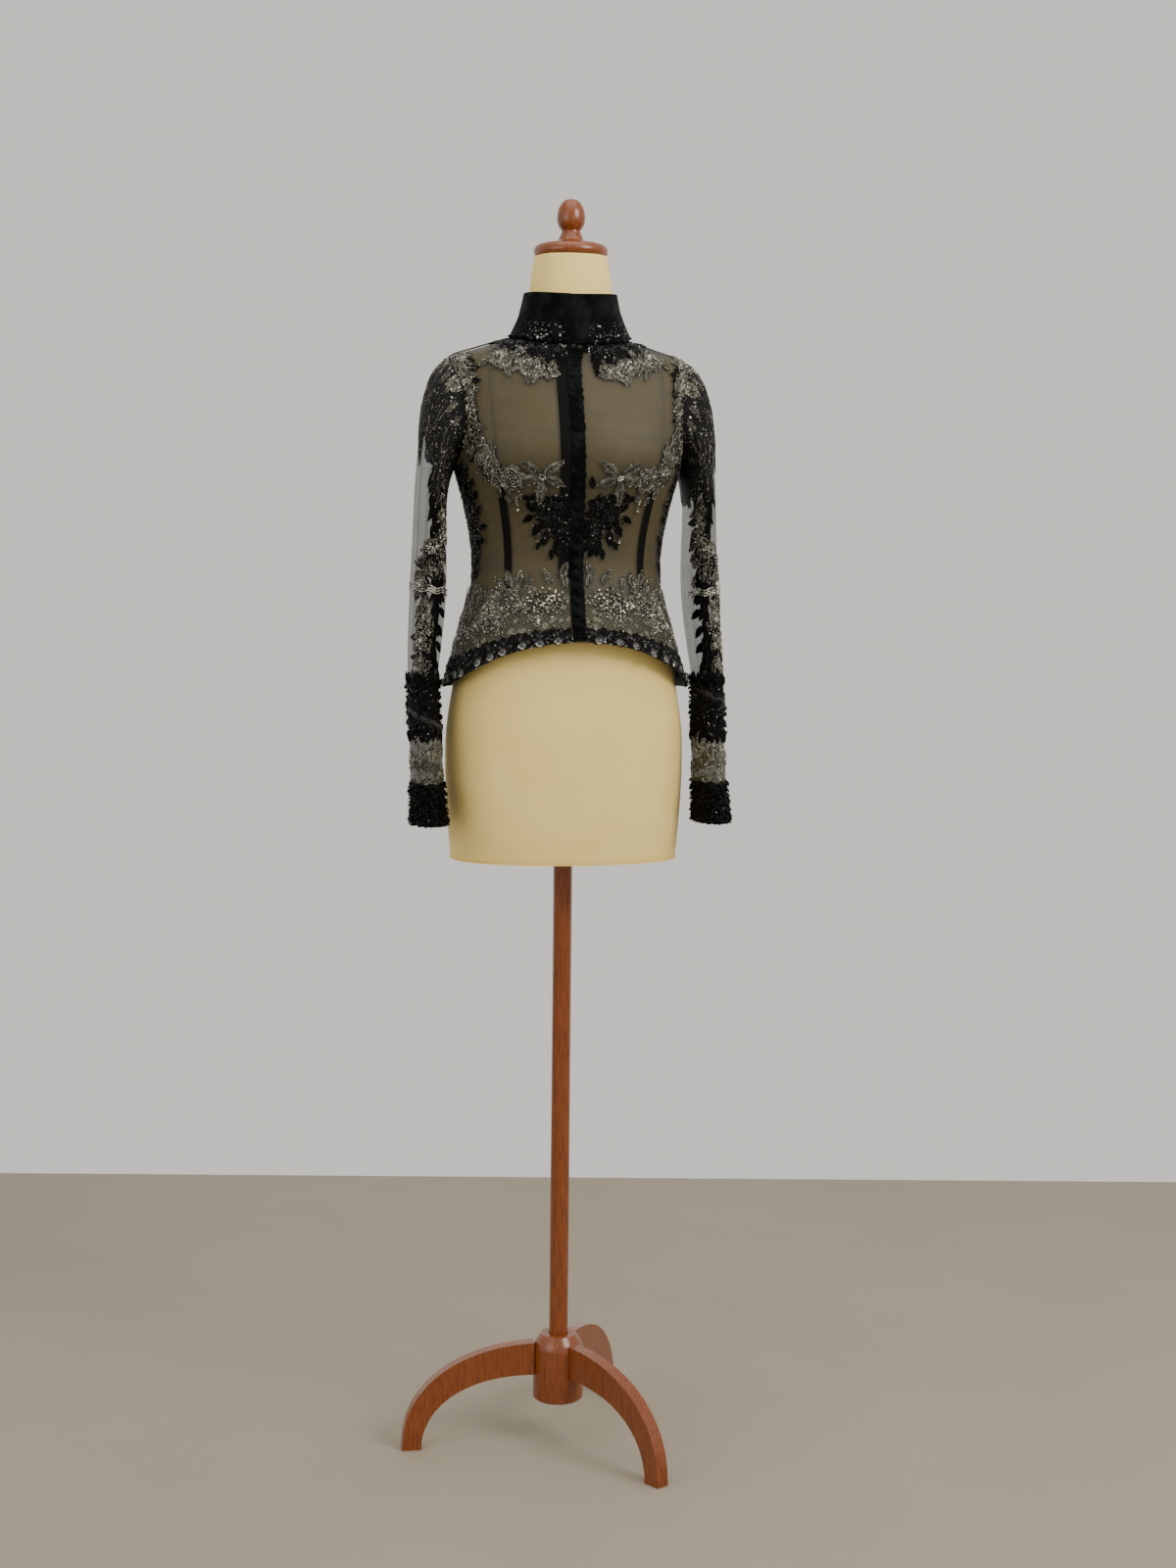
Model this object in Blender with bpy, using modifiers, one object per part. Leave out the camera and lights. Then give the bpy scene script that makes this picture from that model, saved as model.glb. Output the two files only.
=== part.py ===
# A long-sleeved kebaya blouse worn on a limbless dress form with a three-legged wooden stand.
# The blouse is black tulle with applied lace, garlands, a stand collar and a front strip with
# covered buttons. +Z is up, the front faces -Y, and the origin is on the floor under the pole.
# "Angle" on the torso is in degrees from the centre front, positive towards +X; "level" counts
# the rings of the TORSO table upwards from the hem.

import math
from collections import namedtuple

import bpy
from mathutils import Matrix, Vector

MM = 0.001

# Walls of cloth and the gaps between pieces
TULLE_WALL = 1.4 * MM
LACE_WALL = 1.2 * MM
VELVET_WALL = 2.0 * MM
SEAM_GAP = 0.25 * MM  # what each of two pieces keeps from their common seam
LIFT = 0.8 * MM  # from a panel to what is sewn on it

SHARP_ANGLE = math.radians(50)  # edges sharper than this show as edges

# The torso of the blouse, its outer face
Ring = namedtuple("Ring", "side_z front_z back_z half_width front back")
TORSO = (
    Ring(1.026, 1.088, 1.018, 0.1600, 0.121, 0.117),
    Ring(1.060, 1.103, 1.054, 0.1520, 0.113, 0.111),
    Ring(1.098, 1.121, 1.094, 0.1415, 0.104, 0.102),
    Ring(1.135, 1.143, 1.133, 0.1310, 0.094, 0.091),
    Ring(1.178, 1.178, 1.178, 0.1240, 0.085, 0.081),
    Ring(1.218, 1.216, 1.220, 0.1262, 0.088, 0.086),
    Ring(1.262, 1.258, 1.265, 0.1350, 0.097, 0.094),
    Ring(1.306, 1.300, 1.311, 0.1465, 0.108, 0.101),
    Ring(1.342, 1.337, 1.350, 0.1530, 0.111, 0.105),
    Ring(1.388, 1.378, 1.396, 0.1590, 0.104, 0.106),
    Ring(1.428, 1.413, 1.436, 0.1610, 0.092, 0.098),
    Ring(1.450, 1.438, 1.460, 0.1540, 0.083, 0.082),
    Ring(1.464, 1.453, 1.476, 0.1150, 0.0800, 0.062),
    Ring(1.476, 1.464, 1.488, 0.0760, 0.0775, 0.045),
)
HEM, ARMPIT, SHOULDER, NECK = 0, 7, 11, len(TORSO) - 1  # levels that pieces begin or end at
SQUARENESS = 0.02  # 0 makes the sections ellipses
SMALL_ANGLE, SMALL_LEVEL = 0.5, 0.02  # steps that a surface's directions are measured over
CUP_OUT = 11 * MM
CUP_ANGLE, CUP_ANGLE_SPREAD = 34, 30
CUP_LEVEL, CUP_LEVEL_SPREAD = 7.6, 1.25
CUP_ASIDE = 0.25  # of how far it stands out, a cup also stands aside

# How the torso is cut into panels
SEAM_ANGLE = 42  # princess seams
SIDE_ANGLE = 90
BACK_ANGLE = 180
FRONT_COLUMNS, BACK_COLUMNS = 5, 12
ARMHOLE_REACH = 31  # degrees that the armhole takes from the front and from the back
ARMHOLE_POWER = 0.75
PANEL_LEVELS = (0, 0.8, 1.6, 2.3, 2.9, 3.4, 3.8, 4.2, 4.7, 5.4, 6.2, 6.8, 7.0, 7.12, 7.4, 7.8, 8.4, 9.1,
                9.8, 10.3, 10.7, 10.9, 11.0, 11.4, 11.8, 12.2, 12.6, 13.0)
CLOSE_TOP, CLOSE_BOTTOM = -5.0, -3.0  # angle of the centre front closing at the neck and hem

# The sleeve of the +X side, its outer face, from the armhole to the wrist
Cuff = namedtuple("Cuff", "outer_x outer_z inner_x inner_z half_depth centre_y")
SLEEVE = (
    Cuff(0.1620, 1.4470, 0.1480, 1.3090, 0.0520, 0.000),
    Cuff(0.1755, 1.4330, 0.1520, 1.3020, 0.0570, 0.000),
    Cuff(0.1850, 1.4070, 0.1550, 1.2920, 0.0590, 0.001),
    Cuff(0.1910, 1.3700, 0.1575, 1.2780, 0.0590, 0.002),
    Cuff(0.1950, 1.3250, 0.1590, 1.2600, 0.0575, 0.003),
    Cuff(0.1985, 1.2750, 0.1590, 1.2350, 0.0560, 0.004),
    Cuff(0.2005, 1.2250, 0.1575, 1.2030, 0.0540, 0.004),
    Cuff(0.2030, 1.1780, 0.1570, 1.1660, 0.0520, 0.003),
    Cuff(0.2055, 1.1300, 0.1590, 1.1260, 0.0500, 0.000),
    Cuff(0.2075, 1.0850, 0.1640, 1.0840, 0.0485, -0.005),
    Cuff(0.2085, 1.0400, 0.1695, 1.0400, 0.0470, -0.012),
    Cuff(0.2080, 0.9950, 0.1695, 0.9950, 0.0460, -0.022),
    Cuff(0.2070, 0.9500, 0.1675, 0.9500, 0.0450, -0.033),
    Cuff(0.2070, 0.9050, 0.1665, 0.9050, 0.0440, -0.045),
    Cuff(0.2075, 0.8700, 0.1650, 0.8700, 0.0440, -0.056),
    Cuff(0.2085, 0.8520, 0.1640, 0.8520, 0.0450, -0.061),
)
WRIST = len(SLEEVE) - 1
SLEEVE_BLEND = 3  # rings over which the armhole's outline turns into a plain oval
SLEEVE_FOLDS = 4  # long soft folds down the outside of the sleeve
SLEEVE_FOLD_OUT = 1.8 * MM
SLEEVE_FOLD_START = 5  # the level at which the folds are full
ARMHOLE_EASE_ANGLE, ARMHOLE_EASE = 0.6, 0.9 * MM  # what the sleeve keeps from the armhole's edge
ARMHOLE_END = 0.03  # levels that the sleeve keeps from the armhole's two ends
SLEEVE_COLUMNS = 16
SLEEVE_LEVELS = (0, 0.4, 0.9, 1.5, 2.2, 3, 4, 5, 6, 7, 8, 9, 10, 11, 12, 13, 14, 15)

# The stand collar: half width, front and back depth and height of its foot, middle and top
Band = namedtuple("Band", "half_width front back side_z front_z back_z")
COLLAR = (
    Band(0.0800, 0.0645, 0.0650, 1.4770, 1.4648, 1.4892),
    Band(0.0705, 0.0630, 0.0625, 1.4960, 1.4860, 1.5060),
    Band(0.0640, 0.0620, 0.0605, 1.5160, 1.5080, 1.5240),
    Band(0.0605, 0.0610, 0.0590, 1.5330, 1.5280, 1.5390),
)
COLLAR_UNDER_END, COLLAR_OVER_END = -24, 356
COLLAR_OVERLAP_STEP = 2.6 * MM
COLLAR_UNDER_DEGREES, COLLAR_STEP_DEGREES = 50, 31  # the lower end: where it begins to dip, and its slope
COLLAR_ROWS, COLLAR_COLUMNS = 4, 32

# The dress form
FORM_CLEAR = 2.2 * MM  # between the form and the cloth
FORM_BOTTOM = 0.800
FormRing = namedtuple("FormRing", "z tilt half_width front back")  # tilt: front lower, back higher
FORM_HIPS = (
    FormRing(FORM_BOTTOM, 0, 0.1465, 0.101, 0.104),
    FormRing(0.806, 0, 0.1500, 0.104, 0.107),
    FormRing(0.850, 0, 0.1540, 0.107, 0.113),
    FormRing(0.910, 0, 0.1570, 0.108, 0.117),
    FormRing(0.970, 0, 0.1560, 0.106, 0.115),
    FormRing(1.030, 0, 0.1470, 0.101, 0.106),
    FormRing(1.085, 0, 0.1360, 0.094, 0.095),
    FormRing(1.130, 0, 0.1255, 0.086, 0.084),
)
FORM_NECK = (
    FormRing(1.4790, 0.009, 0.0630, 0.0535, 0.0530),
    FormRing(1.4920, 0.007, 0.0590, 0.0530, 0.0500),
    FormRing(1.5080, 0.004, 0.0560, 0.0525, 0.0480),
    FormRing(1.5300, 0, 0.0540, 0.0520, 0.0465),
    FormRing(1.5600, 0, 0.0500, 0.0495, 0.0445),
    FormRing(1.5770, 0, 0.0475, 0.0475, 0.0430),
    FormRing(1.5810, 0, 0.0450, 0.0450, 0.0405),
)
NECK_AXIS_Y = -0.016
FORM_COLUMNS = 24
FORM_FIRST_LEVEL, FORM_LAST_LEVEL, FORM_ROWS = 4, 12.85, 15  # the rows that follow the blouse

# Turned wooden cap and knob on the neck: radius and height of its profile
CAP_FOOT_Z = 1.5813
CAP_PROFILE = (
    (0.0000, 0.0000), (0.0440, 0.0000), (0.0475, 0.0025), (0.0480, 0.0075), (0.0450, 0.0125),
    (0.0360, 0.0160), (0.0190, 0.0180), (0.0155, 0.0240), (0.0125, 0.0300), (0.0118, 0.0320),
    (0.0160, 0.0375), (0.0182, 0.0460), (0.0175, 0.0560), (0.0140, 0.0650), (0.0080, 0.0710),
    (0.0000, 0.0725),
)
CAP_SEGMENTS = 18

# Stand
POLE_RADIUS = 0.0125
POLE_SEGMENTS = 16
POLE_FOOT_Z, POLE_TOP_Z = 0.1203, FORM_BOTTOM - 0.3 * MM
HUB_RADIUS, HUB_FOOT_Z, HUB_TOP_Z = 0.034, 0.060, 0.150
HUB_SHOULDER_DROP, HUB_SHOULDER_IN = 0.018, 0.010
POLE_SOCKET_CLEAR = 0.3 * MM
LEG_COUNT = 3
LEG_TURN = 30  # degrees that the first leg is turned from the front towards +X
LEG_REACH = 0.200
LEG_RISE = 0.118  # height of the leg's centre line where it leaves the hub
LEG_THICK = 0.018
LEG_HIGH_AT_HUB, LEG_HIGH_AT_FOOT = 0.044, 0.026
LEG_FULLNESS = 0.9  # 1 makes the leg's centre line an ellipse's quarter, less makes it fuller
LEG_FOOT_SLOPE, LEG_SLOPE_POWER = 1.22, 1.3  # radians at the foot, and how late the slope comes
LEG_STEPS = 12
HUB_FLAT = HUB_RADIUS + 0.3 * MM

# Cloth colours, linear
BLACK_TULLE = (0.010, 0.010, 0.012, 1)
BLACK_LACE = (0.006, 0.006, 0.008, 1)
BLACK_VELVET = (0.004, 0.006, 0.008, 1)
SILVER_LACE = (0.25, 0.24, 0.19, 1)
FORM_CREAM = (0.72, 0.60, 0.36, 1)
STAND_WOOD = (0.42, 0.14, 0.035, 1)

# Garlands. A path's points are an angle and a level of the surface that the garland lies on.
Garland = namedtuple("Garland", "path half_width lift high slot steps_per_motif")
ARMHOLE_GARLAND = Garland(
    ((70, 11.6), (63, 11.0), (54, 10.2), (52, 9.3), (53.5, 8.4), (54, 7.6), (50, 6.9), (41, 6.45), (31, 6.35),
     (22, 6.4), (13, 6.5)),
    11 * MM, LIFT, 2.6 * MM, "silver", 4,
)
NECK_GARLAND = Garland(
    ((52, 11.75), (42, 11.35), (30, 10.95), (20, 10.65), (14.5, 10.55)), 10 * MM, LIFT, 3.0 * MM, "silver", 4,
)
SLEEVE_VINE = Garland(
    ((95, 3.4), (120, 4.6), (125, 5.6), (105, 6.4), (70, 7.3), (60, 8.2), (62, 9.2), (55, 9.9)),
    10 * MM, LIFT + 0.8 * MM, 2.2 * MM, "silver", 3,
)
SLEEVE_HEAD_LEAVES = Garland(
    ((25, 0.9), (50, 1.6), (80, 2.2), (110, 2.7), (140, 3.2)), 15 * MM, LIFT + 0.4 * MM, 2.0 * MM, "lace", 3,
)
MOTIF_PITCH = 31 * MM
GARLAND_COLUMNS = 4
LOBE_DEPTH = 0.28  # share of a garland's half width that its edge goes in between motifs
END_TAPER = 0.35  # share of its half width that a garland still has at its ends
PETAL_LOW = 0.45  # share of its height that a garland keeps between motifs

# Strips and lace on the body: offsets and widths at right angles to the strip
BUTTON_PROFILE = ((0.70, 0.0), (1.0, 0.30), (0.88, 0.68), (0.50, 0.94))  # shares of its radius and height
BUTTON_RADIUS, BUTTON_HIGH = 6.5 * MM, 5.0 * MM
BUTTON_SIDES = 8
BUTTON_COUNT = 8
BUTTON_TOP_Z, BUTTON_FOOT_Z = 1.221, 1.106
BUTTON_LIFT = 1.7 * MM
STRIP_TOP = 12.45
FACING_OFFSET, FACING_WIDTH = -9.0 * MM, 12 * MM
FACING_FOOT, FACING_ROWS = 3.75, 16
VELVET_OFFSET, VELVET_WIDTH = 7.0 * MM, 17 * MM
VELVET_FOOT, VELVET_ROWS = 0.06, 42
VELVET_LIFT = LIFT + 0.2 * MM
RUFFLE_DEPTH, RUFFLE_LOW, RUFFLE_HIGH = 1.0 * MM, 0.5 * MM, 1.3 * MM
SEAM_TAPE_LEVELS, SEAM_TAPE_WIDTH = (3.65, 5.85, 8), 11 * MM
SIDE_LACE_ANGLE, SIDE_LACE_LEVELS = 80, (3.9, 6.9, 14)
SIDE_LACE_WIDTH, SIDE_LACE_WAVE, LACE_RELIEF = 16 * MM, 6 * MM, 1.2 * MM
CENTRE_LACE_ANGLE, CENTRE_LACE_LEVELS = 18, (4.75, 5.85, 9)
CENTRE_LACE_WIDTH, CENTRE_LACE_SWELL = 12 * MM, 14 * MM

# Lace round the hips, the hem and the neck, as levels of the torso
SIDE_GAP = 0.25  # degrees between a front's lace and the back's
LACE_COUNTS = {"left": (20, 10), "right": (20, 10), "back": (32, 15)}  # columns of net, and crystals
HIP_LACE_FOOT, HIP_LACE_TOP, HIP_LACE_WAVE = 1.06, 3.15, 0.35
HIP_LACE_LOW, HIP_LACE_HIGH = 0.3 * MM, 1.5 * MM
HEM_LACE_ROWS = ((HEM, 0.2), (0.30, 1), (0.62, 0.2), (1.0, 0))  # level, and how much of a crystal's height
CRYSTAL_DROP, CRYSTAL_HIGH, HEM_LACE_LOW = 0.16, 3.0 * MM, 0.4 * MM
NECKLINE_LACE_START, NECKLINE_LACE_COLUMNS = 15, 34
NECKLINE_LACE_FOOT, NECKLINE_LACE_TOP = 12.25, 12.78
NECKLINE_LACE_DROP, NECKLINE_LACE_WAVE = 0.42, 0.16
NECKLINE_LACE_LOW, NECKLINE_LACE_HIGH = 0.2 * MM, 0.9 * MM

# Lace round the forearms, as levels of the sleeve
SleeveLace = namedtuple("SleeveLace", "name first last rows high slot scallop")
SLEEVE_LACES = (
    SleeveLace("forearm_lace", 10.25, 11.55, 3, 0.8 * MM, "lace", 0.08),
    SleeveLace("wrist_lace", 11.72, 12.95, 3, 0.8 * MM, "silver", 0),
    SleeveLace("cuff", 13.12, WRIST, 4, 1.2 * MM, "lace", 0.10),
)


def clear_scene():
    for found in list(bpy.data.objects):
        bpy.data.objects.remove(found)


def collection_named(name):
    made = bpy.data.collections.new(name)
    bpy.context.scene.collection.children.link(made)
    return made


def material(name, colour, roughness, metallic=0.0):
    made = bpy.data.materials.new(name)
    made.use_nodes = True
    shader = made.node_tree.nodes["Principled BSDF"]
    shader.inputs["Base Color"].default_value = colour
    shader.inputs["Roughness"].default_value = roughness
    shader.inputs["Metallic"].default_value = metallic
    return made


def spline(table, place):
    """A row of the table at a fractional place, smooth through all rows."""
    last = len(table) - 1
    first = min(max(int(place), 0), last - 1)
    t = place - first
    rows = [table[min(max(k, 0), last)] for k in range(first - 1, first + 3)]
    return [
        0.5 * (2 * b + (c - a) * t + (2 * a - 5 * b + 4 * c - d) * t**2 + (3 * b - a - 3 * c + d) * t**3)
        for a, b, c, d in zip(*rows)
    ]


def section(angle):
    """How far across and how far ahead a section's point lies, each from -1 to 1."""
    turn = math.radians(angle)
    across = (math.sin(turn) + SQUARENESS * math.sin(3 * turn)) / (1 - SQUARENESS)
    ahead = (math.cos(turn) - SQUARENESS * math.cos(3 * turn)) / (1 - SQUARENESS)
    return across, ahead


def torso(angle, level):
    """A point on the outer face of the blouse's body."""
    ring = Ring(*spline(TORSO, level))
    across, ahead = section(angle)
    depth, middle_z = (ring.front, ring.front_z) if ahead > 0 else (ring.back, ring.back_z)
    height = ring.side_z + (middle_z - ring.side_z) * ahead**2
    point = Vector((ring.half_width * across, -depth * ahead, height))
    from_front = abs((angle + 180) % 360 - 180)
    aside, above = (from_front - CUP_ANGLE) / CUP_ANGLE_SPREAD, (level - CUP_LEVEL) / CUP_LEVEL_SPREAD
    return point + CUP_OUT * math.exp(-aside * aside - above * above) * Vector((CUP_ASIDE * across, -1, 0))


def degrees_across(width, level):
    """A width at the middle of the front, as an angle."""
    return math.degrees(width / spline(TORSO, level)[3]) * (1 - SQUARENESS) / (1 + 3 * SQUARENESS)


def armhole_angle(level):
    """Angle at which the front's edge lies: the side seam, or the armhole above it."""
    if not ARMPIT < level < SHOULDER:
        return SIDE_ANGLE
    along = (level - ARMPIT) / (SHOULDER - ARMPIT)
    return SIDE_ANGLE - ARMHOLE_REACH * math.sin(math.pi * along) ** ARMHOLE_POWER


def close_angle(level):
    """Angle of the centre front closing, which slants a little."""
    return CLOSE_BOTTOM + (CLOSE_TOP - CLOSE_BOTTOM) * level / NECK


def directions(surface, angle, level):
    """How a surface's point moves for one degree and for one level."""
    turn = surface(angle + SMALL_ANGLE, level) - surface(angle - SMALL_ANGLE, level)
    rise = surface(angle, level + SMALL_LEVEL) - surface(angle, level - SMALL_LEVEL)
    return turn / (2 * SMALL_ANGLE), rise / (2 * SMALL_LEVEL)


def outward(surface, angle, level):
    """The unit normal of a surface, pointing out of the body."""
    turn, rise = directions(surface, angle, level)
    return turn.cross(rise).normalized()


def off(surface, angle, level, distance):
    """A point at a distance from a surface, along its normal."""
    return surface(angle, level) + distance * outward(surface, angle, level)


def sleeve(angle, level):
    """A point on the +X sleeve. Angle 0 is its outside, 90 its front and 180 the side by the body."""
    ring = Cuff(*spline(SLEEVE, level))
    out, ahead = math.cos(math.radians(angle)), math.sin(math.radians(angle))
    top, foot = Vector((ring.outer_x, 0, ring.outer_z)), Vector((ring.inner_x, 0, ring.inner_z))
    fold = SLEEVE_FOLD_OUT * min(level / SLEEVE_FOLD_START, 1) * max(out, 0) ** 2
    fold *= math.cos(math.radians(angle) * SLEEVE_FOLDS)
    point = (top + foot) / 2 + (top - foot) / 2 * out * (1 + fold / ring.half_depth)
    point.y = ring.centre_y - (ring.half_depth + fold) * ahead
    if level < SLEEVE_BLEND:
        point = point.lerp(armhole_point(angle), (1 - level / SLEEVE_BLEND) ** 2)
    return point


def armhole_point(angle):
    """The armhole's edge, just inside the opening, at a sleeve angle."""
    up = (1 + math.cos(math.radians(angle))) / 2
    level = ARMPIT + ARMHOLE_END + (SHOULDER - ARMPIT - 2 * ARMHOLE_END) * up
    edge = armhole_angle(level) + ARMHOLE_EASE_ANGLE
    if math.sin(math.radians(angle)) < 0:
        edge = 2 * SIDE_ANGLE - edge
    return torso(edge, level) + Vector((ARMHOLE_EASE, 0, 0))


def add_mesh(name, points, faces, group, look):
    mesh = bpy.data.meshes.new(name)
    mesh.from_pydata([tuple(p) for p in points], [], faces)
    mesh.shade_smooth()
    mesh.set_sharp_from_angle(angle=SHARP_ANGLE)
    mesh.materials.append(look)
    made = bpy.data.objects.new(name, mesh)
    group.objects.link(made)
    return made


def grid_faces(rows, columns, closed=False):
    """Quads over a grid of points that is numbered row by row."""
    faces = []
    for i in range(rows - 1):
        for j in range(columns if closed else columns - 1):
            k = (j + 1) % columns
            faces.append((i * columns + j, i * columns + k, (i + 1) * columns + k, (i + 1) * columns + j))
    return faces


def split_quads(quads, points):
    """Each quad as two triangles, cut along its shorter diagonal."""
    faces = []
    for a, b, c, d in quads:
        if (points[a] - points[c]).length <= (points[b] - points[d]).length:
            faces += [(a, b, c), (a, c, d)]
        else:
            faces += [(a, b, d), (b, c, d)]
    return faces


def cloth_on(name, surface, cells, lift, group, look, closed=False):
    """Cloth over rows of cells, each an angle, a level and a thickness, at a lift from a surface.

    The inner face is plain. The outer face stands out from it by each cell's thickness.
    """
    rows, columns = len(cells), len(cells[0])
    count = rows * columns
    outer = [off(surface, angle, level, lift + thick) for row in cells for angle, level, thick in row]
    inner = [off(surface, angle, level, lift) for row in cells for angle, level, thick in row]
    skin = split_quads(grid_faces(rows, columns, closed), outer)
    faces = skin + [tuple(count + n for n in reversed(face)) for face in skin]
    top = (rows - 1) * columns
    for j in range(columns if closed else columns - 1):
        k = (j + 1) % columns
        faces.append((k, j, count + j, count + k))
        faces.append((top + j, top + k, count + top + k, count + top + j))
    if not closed:
        for i in range(rows - 1):
            low, high = i * columns, (i + 1) * columns
            faces.append((low, high, count + high, count + low))
            low, high = low + columns - 1, high + columns - 1
            faces.append((high, low, count + low, count + high))
    return add_mesh(name, outer + inner, faces, group, look)


def steps(first, last, count):
    """A count of evenly spaced numbers, the first and last included."""
    return [first + (last - first) * k / (count - 1) for k in range(count)]


def mirrored(surface):
    """The same surface on the -X side, with its angle still growing the same way round."""
    def other(angle, level):
        point = surface(-angle, level)
        return Vector((-point.x, point.y, point.z))
    return other


def make_front_panel(name, side, first, last, group, look):
    """A front panel between two edges, each given as a function of the level."""
    cells = []
    for level in PANEL_LEVELS:
        gap = degrees_across(SEAM_GAP, level)
        start, end = sorted((side * first(level), side * last(level)))
        angles = steps(start + gap, end - gap, FRONT_COLUMNS)
        cells.append([(angle, level, TULLE_WALL) for angle in angles])
    cloth_on(name, torso, cells, -TULLE_WALL, group, look)


def make_panels(group, looks):
    """Centre fronts, side fronts and the back, cut at the princess, side and shoulder seams."""
    for word, side in (("left", 1), ("right", -1)):
        make_front_panel(
            f"centre_front_{word}", side,
            lambda level: side * close_angle(level), lambda level: SEAM_ANGLE, group, looks["tulle"],
        )
        make_front_panel(
            f"side_front_{word}", side,
            lambda level: SEAM_ANGLE, armhole_angle, group, looks["tulle"],
        )
    cells = []
    for level in PANEL_LEVELS:
        edge = 2 * SIDE_ANGLE - armhole_angle(level) + degrees_across(SEAM_GAP, level)
        angles = steps(edge, 2 * BACK_ANGLE - edge, BACK_COLUMNS)
        cells.append([(angle, level, TULLE_WALL) for angle in angles])
    cloth_on("back", torso, cells, -TULLE_WALL, group, looks["tulle"])


def sleeve_angles():
    """The angles of a sleeve's columns."""
    return [360 * k / SLEEVE_COLUMNS for k in range(SLEEVE_COLUMNS)]


def make_sleeves(group, looks):
    """Each sleeve is one tube of tulle from the armhole to the wrist, open at both ends."""
    cells = [[(angle, level, TULLE_WALL) for angle in sleeve_angles()] for level in SLEEVE_LEVELS]
    for word, surface in (("left", sleeve), ("right", mirrored(sleeve))):
        cloth_on(f"sleeve_{word}", surface, cells, -TULLE_WALL, group, looks["tulle"], closed=True)


def collar_point(angle, level):
    """A point on the collar's outer face. Its levels are the rows of the COLLAR table."""
    ring = Band(*spline(COLLAR, level))
    side, ahead = math.sin(math.radians(angle)), math.cos(math.radians(angle))
    depth, middle_z = (ring.front, ring.front_z) if ahead > 0 else (ring.back, ring.back_z)
    height = ring.side_z + (middle_z - ring.side_z) * ahead**2
    return Vector((ring.half_width * side, NECK_AXIS_Y - depth * ahead, height))


def make_collar(group, look):
    """One band of velvet round the neck, its +X end lying under the other end at the front."""
    rows = []
    for level in steps(0, len(COLLAR) - 1, COLLAR_ROWS):
        row = []
        for angle in steps(COLLAR_UNDER_END, COLLAR_OVER_END, COLLAR_COLUMNS):
            left = COLLAR_UNDER_DEGREES - (angle - COLLAR_UNDER_END)
            dip = min(1.0, max(0.0, left / COLLAR_STEP_DEGREES))
            row.append(off(collar_point, angle, level, -COLLAR_OVERLAP_STEP * dip))
        rows.append(row)
    points = [p for row in rows for p in row]
    made = add_mesh("collar", points, grid_faces(COLLAR_ROWS, COLLAR_COLUMNS), group, look)
    thick = made.modifiers.new("thickness", "SOLIDIFY")
    thick.thickness = VELVET_WALL
    thick.offset = -1


def make_strip(name, centre, levels, half_width, thickness, group, look, lift=LIFT):
    """A strip along the torso. Its half width and thickness are functions of the step along it."""
    cells = []
    for step, level in enumerate(levels):
        turn, rise = directions(torso, centre(level), level)
        reach = half_width(step) / turn.length
        cells.append([(centre(level) + reach * share, level, thickness(step, share)) for share in (-1, 0, 1)])
    cloth_on(name, torso, cells, lift, group, look)


def closing(offset):
    """The line that runs beside the closing at an offset towards +X."""
    return lambda level: close_angle(level) + degrees_across(offset, level)


def level_at(line, height):
    """The level at which a line on the torso reaches a height, found by halving."""
    low, high = 0.0, float(NECK)
    while high - low > SMALL_LEVEL**3:
        middle = (low + high) / 2
        if torso(line(middle), middle).z < height:
            low = middle
        else:
            high = middle
    return low


def make_front_strips(group, looks):
    """The plain facing strip, the ruffled velvet strip beside it and the covered buttons."""
    make_strip(
        "facing_strip", closing(FACING_OFFSET), steps(FACING_FOOT, STRIP_TOP, FACING_ROWS),
        lambda step: FACING_WIDTH / 2, lambda step, share: LACE_WALL, group, looks["facing"],
    )
    make_strip(
        "velvet_strip", closing(VELVET_OFFSET), steps(VELVET_FOOT, STRIP_TOP, VELVET_ROWS),
        lambda step: VELVET_WIDTH / 2 + RUFFLE_DEPTH * (step % 2),
        lambda step, share: VELVET_WALL + (1 - share * share) * (RUFFLE_HIGH if step % 2 else RUFFLE_LOW),
        group, looks["velvet"], VELVET_LIFT,
    )
    line = closing(VELVET_OFFSET)
    for count, height in enumerate(steps(BUTTON_TOP_Z, BUTTON_FOOT_Z, BUTTON_COUNT)):
        make_button(f"button_{count + 1}", line, level_at(line, height), group, looks["velvet"])


def make_button(name, line, level, group, look):
    """A velvet-covered button: a flattened ball with a flat back."""
    points = []
    for radius_share, height_share in BUTTON_PROFILE:
        for k in range(BUTTON_SIDES):
            turn, reach = 2 * math.pi * k / BUTTON_SIDES, radius_share * BUTTON_RADIUS
            points.append(Vector((reach * math.cos(turn), reach * math.sin(turn), height_share * BUTTON_HIGH)))
    points.append(Vector((0, 0, BUTTON_HIGH)))
    faces = grid_faces(len(BUTTON_PROFILE), BUTTON_SIDES, closed=True)
    faces.append(tuple(reversed(range(BUTTON_SIDES))))
    tip = len(points) - 1
    last = tip - BUTTON_SIDES
    faces += [(last + k, last + (k + 1) % BUTTON_SIDES, tip) for k in range(BUTTON_SIDES)]
    made = add_mesh(name, points, faces, group, look)
    centre = off(torso, line(level), level, VELVET_LIFT + VELVET_WALL + BUTTON_LIFT)
    facing = outward(torso, line(level), level).to_track_quat("Z", "Y")
    made.matrix_world = Matrix.Translation(centre) @ facing.to_matrix().to_4x4()


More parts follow.
